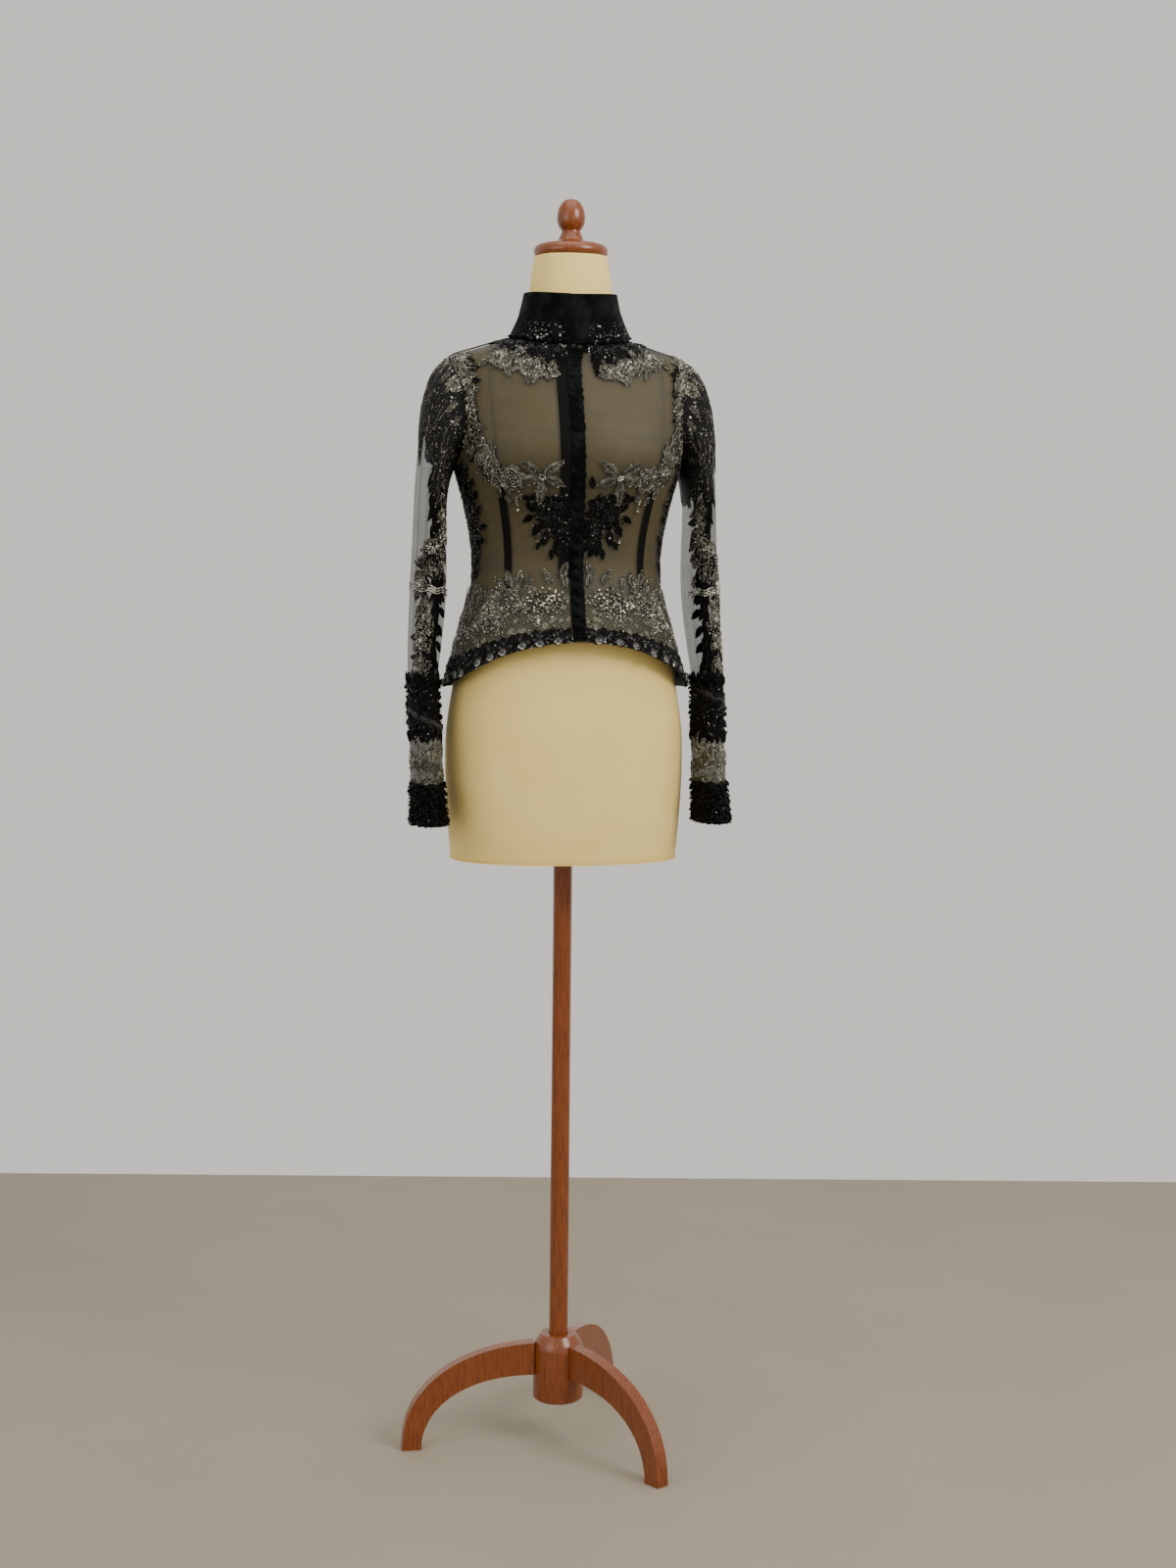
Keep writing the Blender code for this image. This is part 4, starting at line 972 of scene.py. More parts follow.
def thread_look(name, dark, light, metal, gloss):
    """Satin stitches that slant from the middle of each leaf to its edge, in small separate bundles, with
    patches of painted highlight.
    """
    look = Look(name)
    u, v = look.across("X"), look.across("Y")
    stitch = ((v - 0.9 * u.size()) * (math.tau / 0.9e-3)).wave()
    bundle = ((v - 0.9 * u.size()) * (math.tau / 2.7e-3)).wave().between(-0.8, 0.5)
    vein = u.size().between(0.0003, 0.0012) * u.size().between(LEAF_HALF, 0.83 * LEAF_HALF)
    # Painted highlight: the thread is lighter in broad noise patches, where light would catch it.
    painted_highlight = look.noise(130, 3).between(0.42, 0.62)
    tone = look.mix((0.35 + 0.65 * painted_highlight) * (0.30 + 0.70 * bundle) * (0.06 + 0.94 * vein), dark, light)
    return look.finish(
        Base__Color=tone, Roughness=0.50 - 0.10 * stitch, Metallic=metal, Specular__IOR__Level=gloss,
        Normal=look.bumps(2 * bundle + 0.5 * stitch + 0.6 * look.noise(1500, 2), 0.0003, 0.8),
    )


def bead_look(name, low, high, metal, rough, coat):
    """Small glass beads with a foil lining, some duller than others."""
    look = Look(name)
    change = look.cells(330, output="Color")
    return look.finish(
        Base__Color=look.mix(look.across("X", change) ** 2.5, low, high), Metallic=metal,
        Roughness=rough + 0.22 * look.across("Y", change), Coat__Weight=coat, Coat__Roughness=0.05,
    )


SIDES = (("left", 1), ("right", -1))
SILVER_THREAD = thread_look("silver-grey thread", (0.003, 0.003, 0.002), (0.24, 0.233, 0.170), 0.25, 0.5)
# Near-black thread for the leaves under the garland, which are partly backing net and partly painted shade.
BACKING_AND_SHADE_THREAD = thread_look("black backing thread", (0.001, 0.001, 0.001), (0.009, 0.009, 0.008), 0.0, 0.1)
SILVER_BEADS = bead_look("silver-lined beads", (0.035, 0.033, 0.024), (0.98, 0.95, 0.80), 0.8, 0.10, 0.6)

for word, side in SIDES:
    random.seed(9)
    garland = Work()
    garland.trail(torso, side, ARMHOLE_TRAIL, 54)
    for bloom in ARMHOLE_BLOOMS:
        garland.bloom(torso, side, bloom)
    # Black leaves under the garland: partly its black backing net, partly painted shade that darkens the gaps
    # between its leaves.
    backing_and_shade = Work()
    backing_and_shade.trail(torso, side, ARMHOLE_TRAIL, 52, False, (20, 80))
    backing_and_shade.sew(f"garland_backing_{word}", BACKING_AND_SHADE_THREAD, None, "silver_lace")
    garland.sew(f"silver_garland_{word}", SILVER_THREAD, SILVER_BEADS, "silver_lace", f"garland_{word}")
    short = Work()
    for bloom in COLLAR_BLOOMS:
        short.bloom(torso, side, bloom)
    short.sew(f"collar_garland_{word}", SILVER_THREAD, SILVER_BEADS, "silver_lace", f"neck_garland_{word}")


# Black lace on the body: leaves and flowers in black thread with black sequins, round the foot of the
# collar, down the side seams and in a spray at each side of the closing below the bust. Cords of the same
# thread cover the seams at the collar, shoulder and armhole, and a tape covers each princess seam.

BLACK_THREAD = thread_look("black thread", (0.0006, 0.0006, 0.0006), (0.006, 0.006, 0.006), 0.0, 0.08)
GREY_BEADS = bead_look("smoke-grey beads", (0.004, 0.004, 0.004), (0.30, 0.29, 0.26), 0.5, 0.10, 0.3)
JET_BEADS = bead_look("jet beads", (0.001, 0.001, 0.001), (0.012, 0.012, 0.012), 0.0, 0.08, 0.0)


def sequin_look(name, dark, light, metal):
    look = Look(name)
    change = look.cells(260, output="Color")
    shine = look.across("Z", change) ** 6
    return look.finish(
        Base__Color=look.mix(shine, dark, light), Metallic=metal, Specular__IOR__Level=0.25,
        Roughness=0.10 + 0.25 * look.across("X", change),
    )


JET_SEQUINS = sequin_look("jet sequins", (0.003, 0.003, 0.0035), (0.42, 0.43, 0.43), 0.6)
SEQUIN_RADIUS = 1.5 * MM


def sequin(heap, spot, radius, lean):
    """A small cupped disc that leans a little in its own direction."""
    centre = spot.at(0, 0, 1.0 * MM)
    out = (spot.out + lean[0] * spot.along + lean[1] * spot.across).normalized()
    side = out.orthogonal().normalized()
    up = out.cross(side)
    points = [centre + 0.25 * radius * out]
    for k in range(6):
        turn = math.tau * k / 6
        points.append(centre + radius * (side * math.cos(turn) + up * math.sin(turn)))
    heap.add(points, [(0, k + 1, (k + 1) % 6 + 1) for k in range(6)])


def lean(spread):
    return random.gauss(0, spread), random.gauss(0, spread)


def scatter_sequins(heap, surface, angles, levels, count):
    for k in range(count):
        level = random.uniform(*levels)
        spot = Spot(surface, random.uniform(*angles), level)
        sequin(heap, spot, SEQUIN_RADIUS * random.uniform(0.8, 1.2), lean(0.28))


COLLAR_LACE_SPRAY = (
    Bloom("leaf", 18, 11.90, 255, 24), Bloom("leaf", 26, 12.00, 225, 24), Bloom("flower", 22, 12.15, 0, 13),
    Bloom("flower", 33, 12.30, 20, 12), Bloom("leaf", 36, 12.00, 215, 22), Bloom("leaf", 14, 11.60, 285, 20),
    Bloom("leaf", 9, 11.75, 262, 20), Bloom("flower", 13, 12.15, 40, 12), Bloom("leaf", 46, 12.25, 200, 20),
    Bloom("flower", 50, 12.55, 0, 11), Bloom("leaf", 24, 11.55, 250, 18), Bloom("leaf", 10, 11.20, 280, 16),
)
SIDE_TRAIL = ((84, 3.7, 24), (79, 4.6, 26), (80, 5.5, 27), (82, 6.3, 27), (86, 7.1, 24))
INNER_SIDE_TRAIL = ((70, 4.8, 16), (67, 5.6, 18), (68, 6.4, 20), (72, 7.1, 18))
CENTRE_TRAIL = ((28, 6.15, 17), (21, 6.10, 20), (13, 5.90, 22), (7, 5.40, 22), (6, 4.85, 20))
CENTRE_BLOOMS = (
    Bloom("flower", 10, 6.05, 0, 16), Bloom("flower", 17, 5.65, 30, 15), Bloom("flower", 9, 5.30, 10, 14),
    Bloom("leaf", 17, 5.35, 280, 24), Bloom("leaf", 12, 5.05, 262, 24), Bloom("leaf", 21, 5.50, 300, 20),
    Bloom("leaf", 5.5, 6.55, 95, 18), Bloom("leaf", 24, 6.20, 20, 17), Bloom("leaf", 9, 4.85, 250, 18),
    Bloom("leaf", 24, 5.75, 330, 18), Bloom("leaf", 14, 4.75, 275, 16), Bloom("leaf", 20, 5.00, 300, 15),
)
SEAM_CORD = 2.2 * MM


def raised_strip(heap, line, levels, half_width, edge_height, height, surface=torso):
    """A cord or tape along a line on a surface, higher along its middle."""
    strip(
        heap, line, levels, steps(-1, 1, 5), lambda step, share: half_width,
        lambda step, share: edge_height + height * (1 - share**4), surface,
    )


random.seed(11)
collar_lace = Work(3.4 * MM)
collar_sequins = Heap()
for side in (1, -1):
    collar_lace.ground(torso, side, (4, 58), (11.9, 12.95), 70, 14 * MM)
    collar_lace.ground(torso, side, (5, 34), (11.45, 12.2), 26, 14 * MM)
    collar_lace.ground(collar_point, side, (12, 62), (0.05, 0.75), 40, 11 * MM)
    for bloom in COLLAR_LACE_SPRAY:
        collar_lace.bloom(torso, side, bloom)
    raised_strip(
        collar_lace.thread, lambda level: side * (SIDE_ANGLE + 3), steps(SHOULDER - 0.1, NECK - 0.1, 24),
        1.9 * SEAM_CORD, 0.3 * MM, 1.8 * MM,
    )
    scatter_sequins(collar_sequins, torso, sorted((side * 6, side * 60)), (11.6, 12.85), 150)
    scatter_sequins(collar_sequins, collar_point, sorted((side * 10, side * 62)), (0.0, 1.1), 70)
for angle in range(66, 295, 12):
    collar_lace.bloom(torso, 1, Bloom("leaf", angle, 12.35, 80 + 25 * math.sin(angle), 15))
    collar_lace.bloom(torso, 1, Bloom("flower", angle + 6, 12.45, angle, 8))
collar_lace.ground(torso, 1, (60, 300), (12.35, 12.95), 130, 11 * MM)
foot_cord = [
    [off(surface, angle, level, height * MM) for angle in steps(-180, 180, 121)]
    for surface, level, height in (
        (torso, 12.84, 0.2), (torso, 12.92, 1.3), (torso, 12.99, 1.8),
        (collar_point, 0.06, 1.8), (collar_point, 0.14, 1.2), (collar_point, 0.20, 0.1),
    )
]
collar_lace.thread.grid(foot_cord)
collar_lace.flower(Spot(torso, -4.5, 12.80, 20), 8 * MM)
scatter_sequins(collar_sequins, torso, (60, 300), (12.2, 12.85), 220)
collar_lace.sew("collar_foot_lace", BLACK_THREAD, JET_BEADS, "black_lace", "neckline_lace")
collar_sequins.sew("collar_foot_sequins", JET_SEQUINS, "black_lace")

for word, side in SIDES:
    random.seed(12)
    side_lace = Work(3.0 * MM)
    side_lace.ground(torso, side, (76, 96), (3.7, 7.1), 60, 18 * MM)
    side_lace.trail(torso, side, SIDE_TRAIL, 26)
    side_lace.trail(torso, side, INNER_SIDE_TRAIL, 12)
    for line in (lambda level: armhole_angle(level) - 0.2, lambda level: 180.2 - armhole_angle(level)):
        raised_strip(
            side_lace.thread, lambda level: side * line(level), steps(ARMPIT + 0.02, SHOULDER - 0.02, 60),
            1.3 * SEAM_CORD, 0.0, 1.2 * MM,
        )
    side_lace.sew(f"side_seam_lace_{word}", BLACK_THREAD, GREY_BEADS, "black_lace", f"side_lace_{word}")
    centre = Work(3.2 * MM)
    centre.trail(torso, side, CENTRE_TRAIL, 18)
    centre.ground(torso, side, (3, 15), (5.1, 6.3), 12, 14 * MM)
    for bloom in CENTRE_BLOOMS:
        centre.bloom(torso, side, bloom)
    centre.sew(f"centre_spray_{word}", BLACK_THREAD, JET_BEADS, "black_lace", f"centre_lace_{word}")
    for name, angles, levels, count in (
        ("side_seam_lace", (68, 94), (3.9, 7.0), 190), ("centre_spray", (4, 25), (4.8, 6.4), 130),
    ):
        sequins = Heap()
        scatter_sequins(sequins, torso, sorted((side * angles[0], side * angles[1])), levels, count)
        sequins.sew(f"{name}_sequins_{word}", JET_SEQUINS, "black_lace")
    tape = Heap()
    raised_strip(tape, lambda level: side * SEAM_ANGLE, steps(3.3, 6.5, 40), 5.2 * MM, 0.0, 0.5 * MM)
    made = tape.sew(f"princess_tape_{word}", TAPE, "tape", f"seam_tape_{word}")


# The hip lace: a band of silver-grey net lace round the hips, its top edge in waves and leaf points,
# with bunches of beads, small flowers and leaves sewn over it. It is cut at the side seams.

HIP_BLOOMS = (
    Bloom("leaf", 9, 3.75, 112, 24), Bloom("leaf", 14, 3.55, 60, 22), Bloom("berries", 10, 2.95, 0, 13),
    Bloom("berries", 17, 3.05, 0, 14), Bloom("berries", 24, 2.85, 0, 14), Bloom("berries", 19, 2.45, 0, 12),
    Bloom("berries", 12, 2.30, 0, 10), Bloom("leaf", 26, 3.35, 75, 20), Bloom("leaf", 31, 3.25, 40, 17),
    Bloom("flower", 31, 2.65, 0, 14), Bloom("leaf", 37, 3.30, 100, 20), Bloom("leaf", 42, 3.20, 62, 22),
    Bloom("leaf", 47, 3.10, 30, 17), Bloom("berries", 38, 2.55, 0, 10), Bloom("flower", 44, 2.30, 30, 13),
    Bloom("rose", 53, 2.65, 0, 15), Bloom("leaf", 57, 3.10, 82, 18), Bloom("leaf", 35, 1.95, 330, 18),
    Bloom("leaf", 26, 2.10, 200, 16), Bloom("curl", 49, 1.85, 0, 8), Bloom("flower", 60, 2.05, 0, 12),
    Bloom("leaf", 65, 2.80, 100, 20), Bloom("leaf", 69, 2.30, 60, 20), Bloom("berries", 66, 1.80, 0, 9),
    Bloom("leaf", 74, 2.75, 95, 20), Bloom("curl", 76, 2.05, 40, 9), Bloom("leaf", 71, 1.55, 300, 16),
    Bloom("flower", 82, 2.45, 10, 12), Bloom("leaf", 84, 3.05, 85, 18), Bloom("leaf", 82, 1.80, 260, 17),
    Bloom("leaf", 57, 1.50, 240, 15), Bloom("berries", 41, 1.60, 0, 8), Bloom("flower", 20, 1.75, 0, 9),
    Bloom("leaf", 6, 3.40, 80, 22), Bloom("leaf", 34, 3.45, 96, 22), Bloom("leaf", 39, 3.45, 70, 25),
    Bloom("leaf", 44, 3.35, 45, 22), Bloom("flower", 38, 3.15, 0, 11), Bloom("berries", 14, 2.70, 0, 13),
    Bloom("berries", 21, 2.75, 0, 13), Bloom("berries", 28, 2.55, 0, 11), Bloom("flower", 50, 3.05, 20, 12),
    Bloom("leaf", 63, 3.15, 60, 19), Bloom("leaf", 60, 2.60, 250, 18), Bloom("curl", 55, 2.15, 0, 8),
    Bloom("leaf", 80, 2.75, 110, 20), Bloom("leaf", 88, 2.30, 80, 18), Bloom("leaf", 48, 2.65, 200, 18),
)
HIP_FOOT, HIP_TOP = 0.85, 3.20
FRONTS = (  # word, side, first and last angle
    ("left", 1, closing(VELVET_OFFSET + 10 * MM), lambda level: 89.75),
    ("right", -1, lambda level: -89.75, closing(VELVET_OFFSET - 10 * MM)),
)


NET_TURN = math.tau / (11.8 * MM)  # a bar of the net at each half turn, so that they lie 6 mm apart


def net_lace_look():
    """Silver-grey net of slanting bars that cross in diamonds, with denser leaves worked into it."""
    look = Look("silver-grey net lace")
    u, v = look.across("X"), look.across("Y")
    rising = ((u + v) * NET_TURN).wave().size().between(0.0, 0.40)
    falling = ((u - v) * NET_TURN).wave().size().between(0.0, 0.40)
    net = 1 - rising * falling
    work = look.cells(85, where=look.flat).between(0.36, 0.30)
    scroll = look.cells(150, feature="DISTANCE_TO_EDGE", where=look.flat).between(0.075, 0.035)
    cover = 0.20 + 0.55 * net + 0.50 * work + 0.45 * scroll
    stitch = ((u + 1.3 * v) * (math.tau / 0.9e-3)).wave()
    tone = look.mix(0.40 * work + 0.40 * net + 0.25 * stitch, (0.035, 0.036, 0.024), (0.27, 0.27, 0.185))
    return look.finish(
        Base__Color=tone, Roughness=0.5, Metallic=0.25, Alpha=cover,
        Normal=look.bumps(work + 0.6 * scroll + 0.2 * stitch, 0.0005, 0.7),
    )


NET_LACE = net_lace_look()


def panel_under(word):
    """The panel of tulle that a band round the hips lies on."""
    return "tulle_back" if word == "back" else f"tulle_side_front_{word}"


def hip_lace(word, first, last, blooms):
    rows = []
    for share in steps(0, 1, 13):
        row = []
        for place in steps(0, 1, 101):
            top = HIP_TOP + 0.30 * abs(math.sin(place * 10)) + 0.12 * math.sin(place * 37)
            level = HIP_FOOT + (top - HIP_FOOT) * share
            angle = first(level) + (last(level) - first(level)) * place
            row.append(off(torso, angle, level, LIFT + 0.3 * MM * math.sin(place * 60 + 5 * share)))
        rows.append(row)
    lace = Heap()
    lace.grid(rows)
    made = lace.sew(f"hip_lace_net_{word}", NET_LACE, "silver_lace", f"hip_lace_{word}")
    back = word == "back"
    flat, under = (0.420, 0.095) if back else (0.200, 0.074), panel_under(word)
    work = Work(size=0.85 * MM, kept=0.6)
    for side, bloom in blooms:
        work.bloom(torso, side, bloom)
    for k in range(90 if back else 45):
        level = random.uniform(1.1, 3.1)
        angle = random.uniform(first(level), last(level))
        bead(work.beads, off(torso, angle, level, 1.0 * MM), random.uniform(0.8, 1.3) * MM)
    work.sew(f"hip_lace_flowers_{word}", SILVER_THREAD, SILVER_BEADS, "silver_lace")


BACK = ("back", lambda level: 90.25, lambda level: 269.75)
random.seed(21)
for word, side, first, last in FRONTS:
    hip_lace(word, first, last, [(side, bloom) for bloom in HIP_BLOOMS])
behind = [bloom._replace(angle=180 - bloom.angle, turn=180 - bloom.turn) for bloom in HIP_BLOOMS]
hip_lace(*BACK, [(side, bloom) for bloom in behind for side in (1, -1)])


# The hem lace: dense black lace with a scalloped edge, thick with jet sequins and beads. Domed round
# crystals are sewn along it 20 to 25 mm apart, each over a black disc in a ring of jet beads.

HOLE_COVER = 0.86  # how much even the holes of the lace cover, as it lies in several layers


def black_lace_look():
    """Black thread worked into flowers and bars, with small holes between them."""
    look = Look("dense black lace")
    work = look.cells(210, where=look.flat).between(0.42, 0.30)
    bars = look.cells(330, feature="DISTANCE_TO_EDGE", where=look.flat).between(0.10, 0.05)
    stitch = look.noise(1600, 2)
    tone = look.mix(0.5 * work + 0.5 * stitch, (0.0006, 0.0006, 0.0007), (0.007, 0.007, 0.0075))
    return look.finish(
        Base__Color=tone, Roughness=0.8, Specular__IOR__Level=0.10,
        Alpha=HOLE_COVER + 0.75 * work + 0.75 * bars,
        Normal=look.bumps(work + bars + 0.4 * stitch, 0.0006, 0.8),
    )


BLACK_LACE = black_lace_look()


def crystal_look():
    look = Look("clear crystal")
    return look.finish(
        Base__Color=look.mix(look.noise(300, 2), (0.15, 0.15, 0.145), (0.34, 0.34, 0.32)),
        Roughness=0.02 + 0.05 * look.noise(500, 2), Transmission__Weight=0.95, IOR=1.54,
    )


CRYSTAL = crystal_look()
CRYSTAL_RADIUS, DISC_RADIUS, BEAD_RING_RADIUS = 5.2 * MM, 6.4 * MM, 6.2 * MM
DISC_HEIGHT, RING_BEADS, SEQUINS_TO_A_CRYSTAL = 1.3 * MM, 14, 34
FRONT_CRYSTALS, BACK_CRYSTALS = 10, 18


def crystal(heap, centre, out, radius):
    """A round stone with a flat back, cut with small facets round its side and a domed top."""
    side = out.orthogonal().normalized()
    up, ring = out.cross(side), 14
    profile = ((0.72, -0.38), (1.0, -0.05), (0.94, 0.26), (0.76, 0.50), (0.44, 0.68))
    points = []
    for row, (reach, height) in enumerate(profile):
        for k in range(ring):
            turn = math.tau * (k + 0.5 * (row % 2)) / ring
            level_part = reach * (side * math.cos(turn) + up * math.sin(turn))
            points.append(centre + radius * (level_part + height * out))
    points.append(centre + 0.74 * radius * out)
    faces = ring_faces(len(profile), ring)
    last = (len(profile) - 1) * ring
    faces += [(last + k, last + (k + 1) % ring, last + ring) for k in range(ring)]
    faces.append(tuple(reversed(range(ring))))
    heap.add(points, faces)


def hem_lace(word, first, last, crystals):
    rows = []
    for share in steps(0, 1, 9):
        row = []
        for place in steps(0, 1, 24 * crystals + 1):
            low = -0.10 * abs(math.sin(math.pi * place * 2 * crystals))
            high = 1.00 + 0.16 * abs(math.sin(math.pi * place * 1.5 * crystals + 1))
            level = low + (high - low) * share
            angle = first(level) + (last(level) - first(level)) * place
            swell = 0.5 * MM * math.sin(place * 90) * math.sin(7 * share)
            row.append(off(torso, angle, level, LIFT + 0.6 * MM + swell))
        rows.append(row)
    lace = Heap()
    lace.grid(rows)
    made = lace.sew(f"hem_lace_band_{word}", BLACK_LACE, "black_lace", f"hem_lace_{word}")
    flat, under = (0.460, 0.038) if word == "back" else (0.205, 0.030), panel_under(word)
    work, stones, sequins = Work(3.6 * MM), Heap(), Heap()
    for k in range(2 * crystals):
        place = (k + 0.5) / (2 * crystals)
        angle = first(0.5) + (last(0.5) - first(0.5)) * place
        work.flower(Spot(torso, angle, 0.62 + 0.14 * (-1) ** k, 30 * k), 7 * MM)
        work.petal(Spot(torso, angle, 0.80, 90 + 30 * (-1) ** k), 0, 0, 0, 12 * MM, 5 * MM)
        work.petal(Spot(torso, angle, 0.20, 270 + 25 * (-1) ** k), 0, 0, 0, 8 * MM, 5 * MM)
    for k in range(crystals):
        place = (k + 0.5) / crystals + random.uniform(-0.022, 0.022)
        level = 0.16 + random.uniform(-0.05, 0.12)
        spot = Spot(torso, first(level) + (last(level) - first(level)) * place, level)
        crystal(stones, spot.at(0, 0, 3.8 * MM), spot.out, CRYSTAL_RADIUS)
        rim = [
            spot.at(DISC_RADIUS * math.cos(turn), DISC_RADIUS * math.sin(turn), DISC_HEIGHT)
            for turn in steps(0, math.tau, 25)
        ]
        work.thread.add([spot.at(0, 0, DISC_HEIGHT)] + rim, [(0, n + 1, n + 2) for n in range(24)])
        for n in range(RING_BEADS):
            turn = math.tau * n / RING_BEADS
            x, y = BEAD_RING_RADIUS * math.cos(turn), BEAD_RING_RADIUS * math.sin(turn)
            bead(work.beads, spot.at(x, y, 1.6 * MM), 1.0 * MM)
    for k in range(SEQUINS_TO_A_CRYSTAL * crystals):
        level = random.uniform(-0.05, 1.1)
        angle = random.uniform(first(max(level, 0)), last(max(level, 0)))
        way = lean(0.3)
        sequin(sequins, Spot(torso, angle, level), random.uniform(1.2, 1.9) * MM, way)
    work.sew(f"hem_lace_flowers_{word}", BLACK_THREAD, JET_BEADS, "black_lace")
    sequins.sew(f"hem_lace_sequins_{word}", JET_SEQUINS, "black_lace")
    stones.sew(f"hem_crystals_{word}", CRYSTAL, "silver_lace")


random.seed(31)
for word, side, first, last in FRONTS:
    hem_lace(word, first, last, FRONT_CRYSTALS)
hem_lace(*BACK, BACK_CRYSTALS)


# The work on the sleeves. Black leaves edged with small silver beads lie round the head, with sequins
# between them. Down the front run a strip of small black leaves and a vine of silver flowers, which
# swings from the inner side to the outer. A bracelet of beads crosses them below the elbow.

HEAD_LEAVES = (  # angle, level, turn and length
    (8, 0.15, 84, 33), (34, 0.12, 98, 34), (108, 0.35, 78, 33), (136, 0.45, 96, 30), (-6, 0.95, 80, 33),
    (21, 0.92, 102, 36), (47, 0.95, 84, 38), (72, 1.10, 100, 36), (97, 1.20, 80, 37), (124, 1.25, 98, 33),
    (10, 1.78, 100, 33), (35, 1.82, 80, 37), (61, 1.90, 100, 38), (86, 2.00, 82, 38), (112, 2.05, 99, 36),
    (138, 2.15, 84, 31), (50, 2.70, 96, 34), (76, 2.78, 80, 37), (101, 2.85, 98, 37), (128, 2.95, 84, 34),
    (92, 3.55, 90, 34), (-32, 0.60, 95, 30), (-62, 0.70, 82, 30), (-94, 0.80, 98, 29),
)
SLEEVE_BLOOMS = (
    Bloom("leaf", 114, 4.15, 85, 24), Bloom("leaf", 130, 4.45, 110, 20), Bloom("flower", 119, 4.95, 0, 11),
    Bloom("leaf", 104, 5.05, 70, 20), Bloom("leaf", 128, 5.25, 95, 24), Bloom("leaf", 112, 5.45, 75, 22),
    Bloom("berries", 118, 5.75, 0, 7), Bloom("leaf", 88, 5.65, 55, 20), Bloom("leaf", 130, 6.05, 85, 24),
    Bloom("flower", 96, 6.15, 20, 13), Bloom("leaf", 78, 5.95, 120, 22), Bloom("berries", 82, 6.25, 0, 8),
    Bloom("leaf", 62, 6.35, 100, 20), Bloom("leaf", 110, 6.55, 95, 24), Bloom("leaf", 84, 6.65, 80, 24),
    Bloom("leaf", 58, 6.75, 75, 22), Bloom("leaf", 38, 6.95, 110, 20), Bloom("leaf", 128, 6.85, 80, 20),
    Bloom("flower", 50, 7.30, 0, 12), Bloom("leaf", 30, 7.55, 70, 18), Bloom("leaf", 66, 7.65, 95, 22),
    Bloom("leaf", 44, 7.95, 80, 22), Bloom("leaf", 86, 7.75, 110, 18), Bloom("flower", 68, 8.30, 0, 13),
    Bloom("leaf", 88, 8.25, 80, 20), Bloom("leaf", 52, 8.55, 105, 22), Bloom("berries", 80, 8.65, 0, 8),
    Bloom("flower", 62, 8.95, 30, 14), Bloom("leaf", 84, 8.85, 85, 22), Bloom("leaf", 44, 8.95, 100, 20),
    Bloom("berries", 48, 9.25, 0, 7), Bloom("leaf", 72, 9.35, 100, 24), Bloom("leaf", 54, 9.45, 75, 24),
    Bloom("leaf", 90, 9.45, 90, 20),
)
SEAM_SPRIGS = (
    Bloom("leaf", 112, 6.95, 40, 20), Bloom("leaf", 113, 7.45, 55, 20), Bloom("leaf", 114, 7.95, 38, 22),
    Bloom("leaf", 114, 8.45, 50, 21), Bloom("leaf", 112, 8.95, 40, 22), Bloom("leaf", 111, 9.45, 50, 22),
    Bloom("flower", 122, 9.85, 0, 9), Bloom("leaf", 132, 9.75, 60, 18), Bloom("leaf", 148, 9.85, 90, 16),
)
SHOULDER_SILVER = (
    Bloom("flower", 36, 0.22, 20, 13), Bloom("leaf", 22, 0.30, 150, 18), Bloom("leaf", 50, 0.42, 110, 20),
    Bloom("rose", 66, 0.34, 0, 14), Bloom("leaf", 82, 0.62, 100, 20), Bloom("leaf", 96, 0.55, 80, 19),
    Bloom("leaf", 112, 0.85, 95, 18), Bloom("leaf", 10, 0.16, 60, 17),
)
VINE_TRAIL = (  # angle, level and leaf length
    (112, 3.9, 20), (122, 4.6, 22), (124, 5.3, 23), (120, 5.9, 23), (104, 6.3, 22), (84, 6.5, 22),
    (66, 6.9, 22), (54, 7.4, 22), (56, 8.0, 22), (66, 8.5, 22), (64, 9.1, 22), (66, 9.8, 22),
)
SPRIG_TRAIL = (
    (88, 3.5, 20), (92, 4.6, 18), (98, 5.6, 17), (104, 6.6, 18), (104, 7.8, 18), (100, 9.0, 19),
    (98, 10.1, 22),
)
HEAD_LEAF_WIDTH, HEAD_LEAF_RISE = 0.40, 3.4 * MM
HEAD_GROUND = (  # lowest and highest level, and first angle
    (0.05, 0.9, -180), (0.7, 1.5, -180), (1.4, 2.1, -175), (2.0, 2.7, 0), (2.6, 3.7, 22),
)
BRACELET_LEVEL, BRACELET_ROWS = 7.38, ((0, 1.5), (1, 1.1), (2, 1.5))  # row and bead radius
DARK_LEAF = thread_look("black leaf thread", (0.0012, 0.0012, 0.0012), (0.010, 0.010, 0.0095), 0.0, 0.2)

